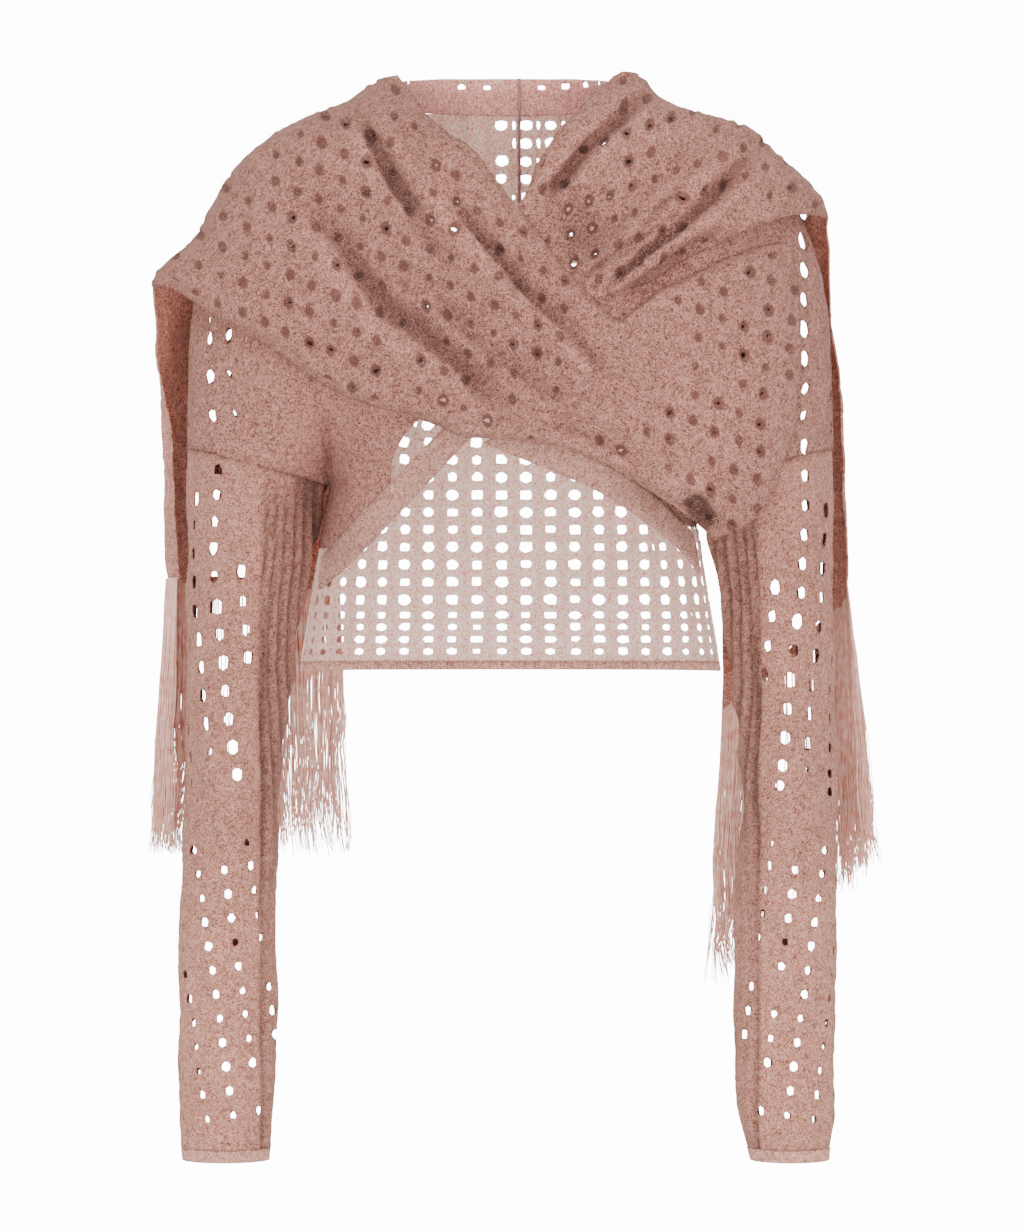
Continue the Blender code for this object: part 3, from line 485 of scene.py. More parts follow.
def sleevePoint(turnShare, share, hand, rings):  # turnShare 0 is the outer side of the arm
    turn = 2 * math.pi * turnShare
    height = mix(armpitHeight, cuffTop, share ** 0.92)
    x, y = ringPoint(rings, turn, height)
    lift = (armholeHeight(x) - armpitHeight) * (1 - smooth(share * 3.5))
    return hand * x, y, height + lift - seam


def sampled(point, columns, rows):
    return np.array([[point(i / columns, j / rows) for j in range(rows + 1)] for i in range(columns + 1)])


def finerAlong(grid, times, closed=False):  # a smooth line through the samples
    first = grid[-2] if closed else 2 * grid[0] - grid[1]
    last = grid[1] if closed else 2 * grid[-1] - grid[-2]
    line = np.concatenate([first[None], grid, last[None]])
    a, b, c, d = line[:-3], line[1:-2], line[2:-1], line[3:]
    steps = []
    for k in range(times):
        t = k / times
        steps.append(0.5 * (2 * b + (c - a) * t + (2 * a - 5 * b + 4 * c - d) * t ** 2
                            + (3 * b - a - 3 * c + d) * t ** 3))
    fine = np.stack(steps, axis=1).reshape(-1, *grid.shape[1:])
    return np.concatenate([fine, grid[-1:]])


def finer(grid, times, closed=False):
    across = finerAlong(grid, times, closed)
    return finerAlong(across.swapaxes(0, 1), times).swapaxes(0, 1)


def finerPanel(coarse, low, first, last, times):  # rows below number low exist only between two columns
    upper = finer(coarse[:, low:], times)
    lower = finer(coarse[first:last + 1, :low + 1], times)
    grid = np.repeat(upper[:, :1], (coarse.shape[1] - 1) * times + 1, axis=1)
    grid[:, low * times:] = upper
    grid[first * times:last * times + 1, :low * times] = lower[:, :-1]
    keep = np.ones((grid.shape[0] - 1, grid.shape[1] - 1), bool)
    keep[:first * times, :low * times] = False
    keep[last * times:, :low * times] = False
    return grid, keep


def outwardWays(grid, outward):  # unit normals of a grid of points, and whether its faces have to be turned
    ways = np.cross(np.gradient(grid, axis=0), np.gradient(grid, axis=1))
    ways = ways / np.maximum(np.linalg.norm(ways, axis=2, keepdims=True), 1e-12)
    flip = sum(float(np.dot(outward(grid[i, j]), ways[i, j]))
               for i in range(0, grid.shape[0], 5) for j in range(0, grid.shape[1], 5)) < 0
    return -ways if flip else ways, flip


def gridFaces(grid, flip):  # the four corners of each face
    number = np.arange(grid.shape[0] * grid.shape[1]).reshape(grid.shape[:2])
    faces = np.stack([number[:-1, :-1], number[1:, :-1], number[1:, 1:], number[:-1, 1:]], axis=2)
    return faces[:, :, ::-1] if flip else faces


def arcs(grid, start=0):  # distance along each row of the grid from column number start
    steps = np.linalg.norm(np.diff(grid, axis=0), axis=2)
    total = np.concatenate([np.zeros((1, grid.shape[1])), np.cumsum(steps, axis=0)])
    return total - total[start]


def softStep(values):
    values = np.clip(values, 0, 1)
    return values * values * (3 - 2 * values)


def bell(distance, width):
    return np.exp(-(distance / width) ** 2)


def chance(i, j, seed):  # a steady random number for each cell
    return np.modf(np.abs(np.sin(i * 12.9898 + j * 78.233 + seed * 37.719) * 43758.5453))[0]


closedSize = 0.3  # an eyelet that is knitted shut is only a dimple of this share


def eyeletRims(p, q, lace):  # distance to the nearest eyelet's edge, negative inside it
    (ax, ay), (bx, by) = lace["along"], lace["down"]
    det = ax * by - ay * bx
    x, y = p - lace["start"][0], q - lace["start"][1]
    i, j = (x * by - y * bx) / det, (ax * y - ay * x) / det
    ni, nj = np.round(i), np.round(j)
    wander = lace.get("wander", 0)
    dx = (i - ni) * ax + (j - nj) * bx + wander * (2 * chance(ni, nj, lace["seed"] + 2) - 1)
    dy = (i - ni) * ay + (j - nj) * by + wander * (2 * chance(ni, nj, lace["seed"] + 3) - 1)
    lean = math.radians(lace.get("lean", 0))
    dx, dy = dx * math.cos(lean) + dy * math.sin(lean), dy * math.cos(lean) - dx * math.sin(lean)
    size = 1 + lace["unevenness"] * (2 * chance(ni, nj, lace["seed"]) - 1)
    size = np.where(chance(ni, nj, lace["seed"] + 5) < lace["closed"], closedSize, size)
    middleX = lace["start"][0] + ni * ax + nj * bx
    middleY = lace["start"][1] + ni * ay + nj * by
    for x0, y0, reachX, reachY in lace.get("plain", ()):
        size = np.where(np.hypot((middleX - x0) / reachX, (middleY - y0) / reachY) < 1, closedSize, size)
    return ovalRims(dx, dy, lace["width"] * size, lace["height"] * size)


def ovalRims(dx, dy, width, height):
    ring = np.sqrt((2 * dx / width) ** 2 + (2 * dy / height) ** 2)
    return (ring - 1) * np.minimum(width, height) / 2


def shut(rims, zone, gap=0.001):  # no eyelets in a zone
    return np.where(zone, np.abs(rims) + gap, rims)


view = {"place": (0.0014, -4.5, -0.326), "frameHeight": 0.8617}


def seen(grid):  # where each point stands in the front view, at the depth of the middle
    x, y, z = view["place"]
    share = y / (y - grid[:, :, 1])
    return x + (grid[:, :, 0] - x) * share, z + (grid[:, :, 2] - z) * share


# A valley falls steeply from the ridge on its one side. Both fade at the ends of the fold.
foldShape = {"fade": 5, "ends": 0.15, "steep": 0.55, "gentle": 1.25, "ridgeAt": 1.5, "ridgeWidth": 0.8,
             "ridgeLift": 0.5, "ridgeShade": 0.35, "fullShade": 0.003, "bulgeShade": 0.009}


def foldLift(p, q, folds):  # rise of the folds at each place, and how deep in a valley it lies
    lift, valley = np.zeros_like(p), np.zeros_like(p)
    for fold in folds:
        nearest, place, side = np.full_like(p, 1.0), np.zeros_like(p), np.ones_like(p)
        for i, (a, b) in enumerate(zip(fold.path, fold.path[1:])):
            run = (b[0] - a[0], b[1] - a[1])
            t = np.clip(((p - a[0]) * run[0] + (q - a[1]) * run[1]) / (run[0] ** 2 + run[1] ** 2), 0, 1)
            gap = np.hypot(p - a[0] - t * run[0], q - a[1] - t * run[1])
            cross = run[0] * (q - a[1]) - run[1] * (p - a[0])
            side = np.where(gap < nearest, np.sign(cross), side)
            place = np.where(gap < nearest, (i + t) / (len(fold.path) - 1), place)
            nearest = np.minimum(gap, nearest)
        fade = np.clip(foldShape["fade"] * np.minimum(place, 1 - place) + foldShape["ends"], 0, 1)
        if fold.lift > 0:
            bulge = fade * bell(nearest, fold.width) * fold.lift
            lift += bulge
            valley -= bulge / foldShape["bulgeShade"]
            continue
        steep = fold.width * np.where(side < 0, foldShape["steep"], foldShape["gentle"])
        shape = fade * bell(nearest, steep)
        ridge = fade * bell(nearest - foldShape["ridgeAt"] * fold.width, foldShape["ridgeWidth"] * fold.width)
        ridge = ridge * (side < 0)
        lift += fold.lift * (shape - foldShape["ridgeLift"] * ridge)
        valley -= (shape - foldShape["ridgeShade"] * ridge) * fold.lift / foldShape["fullShade"]
    return lift, valley


def unevenness(grid, size, depth, seed):  # a soft random rise and fall
    total = np.zeros(grid.shape[:2])
    rng = np.random.default_rng(seed)
    for _ in range(7):
        way = rng.normal(size=3)
        way = way / np.linalg.norm(way) * 2 * math.pi / (size * rng.uniform(0.7, 1.6))
        total += np.sin(grid @ way + rng.uniform(0, 6.28))
    return total * depth / 3


def clothMesh(name, points, faces, places, marks):  # a mesh with its cloth's UV map and marks on its points
    mesh = bpy.data.meshes.new(name)
    mesh.from_pydata(points.tolist(), [], faces.tolist())
    layer = mesh.uv_layers.new(name="cloth")
    layer.data.foreach_set("uv", places[faces.ravel()].astype(np.float32).ravel())
    for label, values in marks.items():
        mark = mesh.attributes.new(label, "FLOAT", "POINT")
        mark.data.foreach_set("value", np.array(np.broadcast_to(values, len(points)), np.float32))
    return mesh


def clothShell(name, grid, rims, rise, p, q, tone, lace, outward, material, cadNode, cut=0, keep=None, closed=False):
    # Cuts the eyelets out of a fine grid: points inside one move to its edge, and faces inside it go.
    ways, flip = outwardWays(grid, outward)
    edge = rims + cut
    full = np.concatenate([grid + ways * rise[:, :, None], np.stack([p, q, tone, rims * 1000], axis=2)], axis=2)
    inside = edge < 0
    total, count = np.zeros_like(full), np.zeros(inside.shape)
    for axis in (0, 1):
        near, far = [slice(None), slice(None)], [slice(None), slice(None)]
        near[axis], far[axis] = slice(0, -1), slice(1, None)
        near, far = tuple(near), tuple(far)
        crossed = inside[near] != inside[far]
        t = np.where(crossed, edge[near] / np.where(crossed, edge[near] - edge[far], 1), 0)[:, :, None]
        spot = full[near] + t * (full[far] - full[near])
        for side in (near, far):
            hit = crossed & inside[side]
            total[side] += np.where(hit[:, :, None], spot, 0)
            count[side] += hit
    moved = count > 0
    full[moved] = total[moved] / count[moved][:, None]
    kept = inside[:-1, :-1] * 1 + inside[1:, :-1] + inside[1:, 1:] + inside[:-1, 1:] < 3
    if keep is not None:
        kept &= keep
    used, faces = np.unique(gridFaces(grid, flip)[kept], return_inverse=True)
    faces = faces.reshape(-1, 4)
    data = full.reshape(-1, full.shape[2])[used]
    # The marks: painted light and shade of the cloth, with the back's darker wales, and millimetres from an eyelet's
    # edge
    mesh = clothMesh(name, data[:, :3], faces, data[:, 3:5], {"tone": data[:, 5], "eyelet": data[:, 6]})
    mesh.validate()
    if closed:
        work = bmesh.new()
        work.from_mesh(mesh)
        bmesh.ops.remove_doubles(work, verts=work.verts, dist=0.00002)
        work.to_mesh(mesh)
        work.free()
    mesh.shade_smooth()
    mesh.materials.append(material)
    obj = placed(name, mesh)
    solid = obj.modifiers.new("wall", "SOLIDIFY")
    solid.thickness = lace["wall"]
    solid.offset = -1
    solid.use_quality_normals = True
    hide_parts(cadNode)
    print("cloth:", name, len(faces), "faces")
    return obj


def fromBody(p):
    return np.array((p[0] * 0.5, p[1], 0.02))


def fromArm(x):
    return lambda p: np.array((p[0] - x, p[1], 0))


def stitchedEyelets(rims, height, width=0.0016, pit=0.0):  # the rolled rim round each eyelet and the dip inside
    return height * bell(rims - width, width) - pit * softStep(-rims / 0.0016)


def node(tree, kind, inputs=(), **settings):  # a new node with its settings, its values and its links
    made = tree.nodes.new(kind)
    for name, value in settings.items():
        setattr(made, name, value)
    for key, value in dict(inputs).items():
        if isinstance(value, bpy.types.NodeSocket):
            tree.links.new(value, made.inputs[key])
        else:
            made.inputs[key].default_value = value
    return made


def combined(tree, operation, *values):  # the result of a sum of up to three numbers or sockets
    return node(tree, "ShaderNodeMath", dict(enumerate(values)), operation=operation).outputs[0]


def scaled(tree, vector, factor):
    return node(tree, "ShaderNodeVectorMath", {0: vector, "Scale": factor}, operation="SCALE").outputs[0]


def ranged(tree, value, fromMin, fromMax, toMin, toMax, **settings):
    return node(tree, "ShaderNodeMapRange", {"Value": value, "From Min": fromMin, "From Max": fromMax,
                                             "To Min": toMin, "To Max": toMax}, **settings).outputs[0]


def coloured(tree, value, stops):  # a colour ramp: its first stop, its last one, then any stop between
    ramp = node(tree, "ShaderNodeValToRGB", {"Fac": value})
    for k, (place, colour) in enumerate(stops):
        stop = ramp.color_ramp.elements[k] if k < 2 else ramp.color_ramp.elements.new(place)
        stop.position = place
        stop.color = (*colour, 1)
    return ramp.outputs["Color"]


def newMaterial(name, values):
    material = bpy.data.materials.new(name)
    material.use_nodes = True
    shader = material.node_tree.nodes["Principled BSDF"]
    for key, value in values.items():
        shader.inputs[key].default_value = value
    return material, material.node_tree, shader


yarnMix = {"curls": 0.68, "thread": 0.11, "tufts": 0.22, "bend": 0.0075, "bendScale": 0.3, "threadFrom": 0.02,
           "threadTo": 0.17, "patchScale": 26, "specular": 0.04, "sheenRoughness": 0.6, "bumpDepth": 0.0014,
           "rimInside": 1.0, "rimOutside": 0.6, "radius": (1.0, 0.8, 0.75)}


def knitMaterial(name, look):
    material, tree, shader = newMaterial(name, {
        "Roughness": look["roughness"], "Sheen Weight": look["sheen"], "Sheen Roughness": yarnMix["sheenRoughness"],
        "Sheen Tint": (*look["sheenTint"], 1), "Specular IOR Level": yarnMix["specular"],
        "Subsurface Weight": look["softness"], "Subsurface Radius": yarnMix["radius"],
        "Subsurface Scale": look["depth"]})
    place = node(tree, "ShaderNodeTexCoord").outputs["Object"]

    def noise(scale, detail, more=()):
        return node(tree, "ShaderNodeTexNoise", {"Vector": place, "Scale": scale, "Detail": detail, **dict(more)})
    curls = noise(look["curlScale"], 3, {"Roughness": 0.62, "Distortion": 1.7}).outputs["Fac"]
    tufts = noise(look["tuftScale"], 3, {"Distortion": 0.9}).outputs["Fac"]
    bend = noise(look["curlScale"] * yarnMix["bendScale"], 1).outputs["Color"]
    bent = node(tree, "ShaderNodeVectorMath", {0: bend, 1: (yarnMix["bend"],) * 3, 2: place},
                operation="MULTIPLY_ADD").outputs[0]
    loops = node(tree, "ShaderNodeTexVoronoi", {"Vector": bent, "Scale": look["threadScale"]},
                 feature="DISTANCE_TO_EDGE").outputs["Distance"]
    thread = ranged(tree, loops, yarnMix["threadFrom"], yarnMix["threadTo"], 1, 0)
    yarn = combined(tree, "MULTIPLY", tufts, yarnMix["tufts"])
    yarn = combined(tree, "MULTIPLY_ADD", thread, yarnMix["thread"], yarn)
    yarn = combined(tree, "MULTIPLY_ADD", curls, yarnMix["curls"], yarn)
    low, middle, high = look["ramp"]
    tone = coloured(tree, yarn, ((low, look["shade"]), (high, look["light"]), (middle, look["colour"])))
    patches = noise(yarnMix["patchScale"], 2).outputs["Fac"]
    slow = ranged(tree, patches, 0.3, 0.7, 1 - look["patches"], 1 + look["patches"] / 2)
    paintedLightAndWales = node(tree, "ShaderNodeAttribute", attribute_name="tone").outputs["Fac"]  # painted shade of folds and creases, painted light on ridges and edges, and the back's darker wales
    rim = node(tree, "ShaderNodeAttribute", attribute_name="eyelet").outputs["Fac"]
    ragged = combined(tree, "MULTIPLY_ADD", curls, look["ragged"], rim)  # painted shade inside the eyelets, with a ragged fuzzy edge
    half = look["ragged"] / 2
    inside = ranged(tree, ragged, half - yarnMix["rimInside"], half + yarnMix["rimOutside"], look["hollow"], 0,
                    interpolation_type="SMOOTHSTEP")
    withEyeletShade = node(tree, "ShaderNodeMix", {0: inside, 6: tone, 7: (*look["inside"], 1)}, data_type="RGBA")
    # the yarn's random patches times the painted light and shade
    shade = combined(tree, "MULTIPLY", slow, paintedLightAndWales)
    tree.links.new(scaled(tree, withEyeletShade.outputs[2], shade), shader.inputs["Base Color"])
    bump = node(tree, "ShaderNodeBump", {"Strength": look["bump"], "Distance": yarnMix["bumpDepth"], "Height": yarn})
    tree.links.new(bump.outputs["Normal"], shader.inputs["Normal"])
    return material


def yarnMaterial(name, colour, light):
    material, tree, shader = newMaterial(name, {"Roughness": 0.85, "Sheen Weight": 0.3, "Specular IOR Level": 0.15})
    place = node(tree, "ShaderNodeTexCoord").outputs["Object"]
    noise = node(tree, "ShaderNodeTexNoise", {"Vector": place, "Scale": 160}).outputs["Fac"]
    tree.links.new(coloured(tree, noise, ((0.35, colour), (0.65, light))), shader.inputs["Base Color"])
    return material


def newTree(name, sockets):
    tree = bpy.data.node_groups.new(name, "GeometryNodeTree")
    for label, kind in (("Geometry", "Geometry"), *sockets, ("Material", "Material")):
        tree.interface.new_socket(label, in_out="INPUT", socket_type="NodeSocket" + kind)
    tree.interface.new_socket("Geometry", in_out="OUTPUT", socket_type="NodeSocketGeometry")
    return tree, tree.nodes.new("NodeGroupInput").outputs


def endTree(tree, start, geometry):  # real meshes in the yarn's material
    real = node(tree, "GeometryNodeRealizeInstances", {0: geometry})
    painted = node(tree, "GeometryNodeSetMaterial", {0: real.outputs[0], "Material": start["Material"]})
    node(tree, "NodeGroupOutput", {0: painted.outputs[0]})
    return tree


def randomValue(tree, low, high, seed=0, vector=False):
    if vector:
        return node(tree, "FunctionNodeRandomValue", {0: low, 1: high, "Seed": seed},
                    data_type="FLOAT_VECTOR").outputs[0]
    return node(tree, "FunctionNodeRandomValue", {2: low, 3: high, "Seed": seed}).outputs[1]


def tubeAlong(tree, curve, radius, share, corners, caps=False):  # a tube whose thickness changes along it
    ring = node(tree, "GeometryNodeCurvePrimitiveCircle", {"Resolution": corners, "Radius": radius})
    thick = node(tree, "GeometryNodeSetCurveRadius", {"Curve": curve, "Radius": share})
    tube = node(tree, "GeometryNodeCurveToMesh", {"Curve": thick.outputs[0], "Profile Curve": ring.outputs[0],
                                                  "Fill Caps": caps})
    if "Scale" in tube.inputs:
        tree.links.new(share, tube.inputs["Scale"])
    return tube.outputs[0]


def placed(name, data):  # a new object in the scene
    obj = bpy.data.objects.new(name, data)
    bpy.context.scene.collection.objects.link(obj)
    return obj


def grown(name, tree, base, values):  # runs a tree on a mesh or curve and keeps the result as a plain mesh
    obj = placed(name + "Base", base)
    modifier = obj.modifiers.new("grow", "NODES")
    modifier.node_group = tree
    keys = {item.name: item.identifier for item in tree.interface.items_tree if item.in_out == "INPUT"}
    for label, value in values.items():
        modifier[keys[label]] = value
    bpy.context.view_layer.update()
    made = bpy.data.meshes.new_from_object(obj.evaluated_get(bpy.context.evaluated_depsgraph_get()))
    made.name = name
    bpy.data.objects.remove(obj)
    return placed(name, made)


fibreShape = {"lean": 0.9, "turn": 3.14, "short": 0.45, "long": 1.3}


def haloTree():  # loose fibres standing off a brushed cloth
    tree, start = newTree("brushedHalo", (("Cloth", "Object"), ("Fibre", "Object"), ("Density", "Float"),
                                          ("Length", "Float"), ("Seed", "Int")))
    cloth = node(tree, "GeometryNodeObjectInfo", {"Object": start["Cloth"]}).outputs["Geometry"]
    fibre = node(tree, "GeometryNodeObjectInfo", {"Object": start["Fibre"]}).outputs["Geometry"]
    spots = node(tree, "GeometryNodeDistributePointsOnFaces",
                 {"Mesh": cloth, "Density": start["Density"], "Seed": start["Seed"]})
    lean, turn = fibreShape["lean"], fibreShape["turn"]
    turned = randomValue(tree, (-lean, -lean, -turn), (lean, lean, turn), start["Seed"], vector=True)
    euler = node(tree, "FunctionNodeEulerToRotation", {0: turned})
    way = node(tree, "FunctionNodeRotateRotation", {"Rotation": spots.outputs["Rotation"],
                                                    "Rotate By": euler.outputs[0]}, rotation_space="LOCAL")
    size = combined(tree, "MULTIPLY", randomValue(tree, fibreShape["short"], fibreShape["long"]), start["Length"])
    placedFibres = node(tree, "GeometryNodeInstanceOnPoints", {"Points": spots.outputs["Points"], "Instance": fibre,
                                                               "Rotation": way.outputs[0], "Scale": size})
    return endTree(tree, start, placedFibres.outputs[0])


fringeLook = {"strands": 860, "steps": 11, "radius": 0.00058, "wave": 0.020, "seed": 3, "short": 0.84, "long": 1.03,
              "lean": 0.032, "turn": 0.2, "swayScale": 42, "swayDetail": 2.5, "swayRoughness": 0.62, "tip": 0.5,
              "corners": 3, "thinAt": 0.205, "thinReach": 0.022, "thinShare": 0.08}


def fringeTree():  # soft yarn ends hanging from a line, whole locks of them swaying together
    tree, start = newTree("fringeEnds", (("Strands", "Int"), ("Length", "Float"), ("Radius", "Float"),
                                         ("Wave", "Float"), ("Seed", "Int")))
    spread = node(tree, "GeometryNodeResampleCurve", {"Curve": start["Geometry"], "Count": start["Strands"]})
    strand = node(tree, "GeometryNodeCurvePrimitiveLine", {"End": (0, 0, -1)})
    steps = node(tree, "GeometryNodeResampleCurve", {"Count": fringeLook["steps"], "Curve": strand.outputs[0]})
    size = randomValue(tree, fringeLook["short"], fringeLook["long"], start["Seed"])
    size = combined(tree, "MULTIPLY", size, start["Length"])
    stretch = node(tree, "ShaderNodeCombineXYZ", {0: 1, 1: 1, 2: size})
    lean, turn = fringeLook["lean"], fringeLook["turn"]
    leaning = randomValue(tree, (-lean, -lean, -turn), (lean, lean, turn), start["Seed"], vector=True)
    hung = node(tree, "GeometryNodeInstanceOnPoints", {"Points": spread.outputs[0], "Instance": steps.outputs[0],
                                                       "Scale": stretch.outputs[0], "Rotation": leaning})
    real = node(tree, "GeometryNodeRealizeInstances", {0: hung.outputs[0]})
    share = node(tree, "GeometryNodeSplineParameter").outputs["Factor"]
    where = node(tree, "GeometryNodeInputPosition")
    waves = node(tree, "ShaderNodeTexNoise", {"Vector": where.outputs[0], "Scale": fringeLook["swayScale"],
                                              "Detail": fringeLook["swayDetail"],
                                              "Roughness": fringeLook["swayRoughness"]})
    centred = node(tree, "ShaderNodeVectorMath", {0: waves.outputs["Color"], 1: (0.5, 0.5, 0.5)},
                   operation="SUBTRACT")
    sway = scaled(tree, centred.outputs[0], combined(tree, "MULTIPLY", share, start["Wave"]))
    shift = node(tree, "GeometryNodeSetPosition", {"Geometry": real.outputs[0], "Offset": sway})
    taper = ranged(tree, share, 0.0, 1.0, 1.0, fringeLook["tip"])
    return endTree(tree, start, tubeAlong(tree, shift.outputs[0], start["Radius"], taper, fringeLook["corners"]))


def ribTree():  # fine ribs pressed up out of a plain band, and its wall
    tree, start = newTree("fineRibs", (("Ribs per metre", "Float"), ("Depth", "Float"), ("Wall", "Float")))
    where = node(tree, "GeometryNodeInputNamedAttribute", {"Name": "cloth"}, data_type="FLOAT_VECTOR")
    split = node(tree, "ShaderNodeSeparateXYZ", {0: where.outputs[0]})
    turns = combined(tree, "MULTIPLY", split.outputs[0], start["Ribs per metre"])
    wave = combined(tree, "COSINE", combined(tree, "MULTIPLY", turns, 2 * math.pi))
    normal = node(tree, "GeometryNodeInputNormal").outputs[0]
    way = scaled(tree, normal, combined(tree, "MULTIPLY", wave, start["Depth"]))
    press = node(tree, "GeometryNodeSetPosition", {"Geometry": start["Geometry"], "Offset": way}).outputs[0]
    inward = scaled(tree, normal, combined(tree, "MULTIPLY", start["Wall"], -1))
    back = node(tree, "GeometryNodeExtrudeMesh", {"Individual": False, "Mesh": press, "Offset": inward})
    front = node(tree, "GeometryNodeFlipFaces", {0: press})
    both = node(tree, "GeometryNodeJoinGeometry", {0: back.outputs["Mesh"]})
    tree.links.new(front.outputs[0], both.inputs[0])
    weld = node(tree, "GeometryNodeMergeByDistance", {"Distance": 0.00001, "Geometry": both.outputs[0]})
    turned = node(tree, "GeometryNodeFlipFaces", {0: weld.outputs[0]})
    return endTree(tree, start, turned.outputs[0])


cordLook = {"radius": 0.0011, "step": 0.0015, "beat": 0.22, "corners": 8}


def cordTree():  # a rounded seam cord along a line, with the beat of its stitches
    tree, start = newTree("seamCord", (("Radius", "Float"),))
    even = node(tree, "GeometryNodeResampleCurve", {"Length": cordLook["step"], "Curve": start["Geometry"]},
                mode="LENGTH")
    beat = combined(tree, "SINE", node(tree, "GeometryNodeInputIndex").outputs[0])
    size = combined(tree, "MULTIPLY_ADD", beat, cordLook["beat"], 1.0)
    return endTree(tree, start, tubeAlong(tree, even.outputs[0], start["Radius"], size, cordLook["corners"], True))


def bandMesh(name, grid, outward, tone):  # a plain fine band with the place along it in its UV map
    _, flip = outwardWays(grid, outward)
    n, m = grid.shape[:2]
    distance = np.repeat(arcs(grid)[:, m // 2][:, None], m, axis=1)
    places = np.stack([distance, np.repeat(np.linspace(0, 0.01, m)[None], n, axis=0)], axis=2).reshape(-1, 2)
    mesh = clothMesh(name, grid.reshape(-1, 3), gridFaces(grid, flip).reshape(-1, 4), places,
                     {"tone": tone, "eyelet": 5.0})
    mesh.shade_smooth()
    return mesh


def lineCurve(name, points):
    curve = bpy.data.curves.new(name, "CURVE")
    curve.dimensions = "3D"
    spline = curve.splines.new("POLY")
    spline.points.add(len(points) - 1)
    for spot, point in zip(spline.points, points):
        spot.co = (*point, 1)
    return curve


def fibreMesh():  # one soft fibre of unit length, as a narrow bent ribbon
    steps = ((0.0, 0.0), (0.3, 0.22), (0.68, 0.34), (1.0, 0.28))
    verts = []
    for k, (x, z) in enumerate(steps):
        half = 0.011 * (1 - 0.7 * k / 3) / 2
        verts += [(x, -half, z), (x, half, z)]
    mesh = bpy.data.meshes.new("fibre")
    mesh.from_pydata(verts, [], [(2 * k, 2 * k + 2, 2 * k + 3, 2 * k + 1) for k in range(3)])
    mesh.shade_smooth()
    return placed("fibre", mesh)


print("shapes and materials")
# inside is the colour of the painted shade in the eyelets; the shade, colour and light stops are the yarn's own
# speckle
frontLook = {"colour": (0.305, 0.119, 0.087), "shade": (0.094, 0.041, 0.033), "light": (0.57, 0.275, 0.215),
             "inside": (0.115, 0.044, 0.034), "roughness": 0.95, "sheen": 0.08, "sheenTint": (1.0, 0.74, 0.66),
             "curlScale": 760, "tuftScale": 260, "threadScale": 520, "ramp": (0.390, 0.475, 0.575),
             "patches": 0.07, "ragged": 2.2, "hollow": 0.80, "bump": 0.9, "softness": 0.15, "depth": 0.003}
backLook = dict(frontLook, colour=(1.0, 0.50, 0.40), shade=(0.62, 0.17, 0.13), light=(1.0, 0.80, 0.70),
                sheen=0.05, sheenTint=(1.0, 0.82, 0.74), inside=(0.70, 0.32, 0.27), curlScale=820, tuftScale=330,
                threadScale=480, hollow=0.35, bump=0.5, softness=0.5, depth=0.006)
sleeveLook = dict(frontLook, colour=(0.400, 0.158, 0.112), shade=(0.150, 0.056, 0.041), light=(0.66, 0.335, 0.26),
                  inside=(0.36, 0.16, 0.12), hollow=0.4, curlScale=820, threadScale=560)
ribLook = dict(frontLook, colour=(0.48, 0.215, 0.162), shade=(0.22, 0.09, 0.068), light=(0.72, 0.41, 0.33),
               bump=0.5)
neckLook = dict(backLook, colour=(0.58, 0.24, 0.20), shade=(0.32, 0.11, 0.09), light=(0.84, 0.48, 0.41))
frontKnit = knitMaterial("brushedFrontKnit", frontLook)
backKnit = knitMaterial("fineBackLace", backLook)
sleeveKnit = knitMaterial("brushedSleeveKnit", sleeveLook)
ribKnit = knitMaterial("fineRib", ribLook)
neckKnit = knitMaterial("neckLace", neckLook)
fringeYarn = yarnMaterial("fringeYarn", (0.86, 0.40, 0.30), (1.0, 0.67, 0.55))
haloYarn = yarnMaterial("haloFibres", (0.54, 0.27, 0.21), (0.76, 0.46, 0.38))
seamYarn = yarnMaterial("seamYarn", (0.30, 0.13, 0.12), (0.42, 0.20, 0.19))

# Wraps: "plain" lists ovals without eyelets, and the list of soft ovals after it holds painted shade and painted
# light, each oval darker or lighter by its factor
overLace = {"start": (-0.0861, -0.0357), "along": (0.0156, -0.0068), "down": (-0.0014, -0.0198), "width": 0.0066,
            "height": 0.0090, "lean": 16, "unevenness": 0.24, "closed": 0.08, "wander": 0.0011, "seed": 1,
            "plain": ((0.085, -0.150, 0.040, 0.045), (0.030, -0.188, 0.045, 0.014), (-0.072, -0.020, 0.012, 0.02)),
            "paintedShadeAndLightSpots": ((-0.030, -0.110, 0.085, 0.055, 0.84), (0.010, -0.170, 0.060, 0.030, 0.90),
                       (-0.060, 0.000, 0.030, 0.040, 0.90), (0.1330, -0.2570, 0.008, 0.015, 0.40),
                       (0.150, -0.180, 0.060, 0.070, 1.08)),
            "relief": 1.45, "rimHeight": 0.0007, "pit": 0.0014, "cut": 0.0023, "lumps": 0.0008, "wall": 0.0013,
            "border": 0.005, "valleyEdge": 0.012, "ridgeEdge": 0.008, "samples": (60, 28), "finer": 4}
underLace = dict(overLace, start=(0.1165, -0.0150), along=(-0.0152, -0.0052), down=(0.0020, -0.0186), lean=-24,
                 seed=2, plain=((0.155, -0.040, 0.030, 0.012), (0.06, 0.03, 0.012, 0.02)), samples=(40, 24),
                 paintedShadeAndLightSpots=((0.050, -0.060, 0.020, 0.028, 0.62), (0.088, -0.070, 0.040, 0.020, 0.84),
                         (0.110, 0.020, 0.050, 0.030, 1.06)))
# Painted shade in the fold valleys and creases, and painted highlight on the ridges
wrapPaintedLight = {"flat": 0.98, "valley": 0.44, "steep": 1.2, "reach": (-0.3, 3), "crease": 0.07, "ridge": 0.10,
            "ridgeLift": 0.003, "spread": 1.3, "range": (0.38, 1.15)}


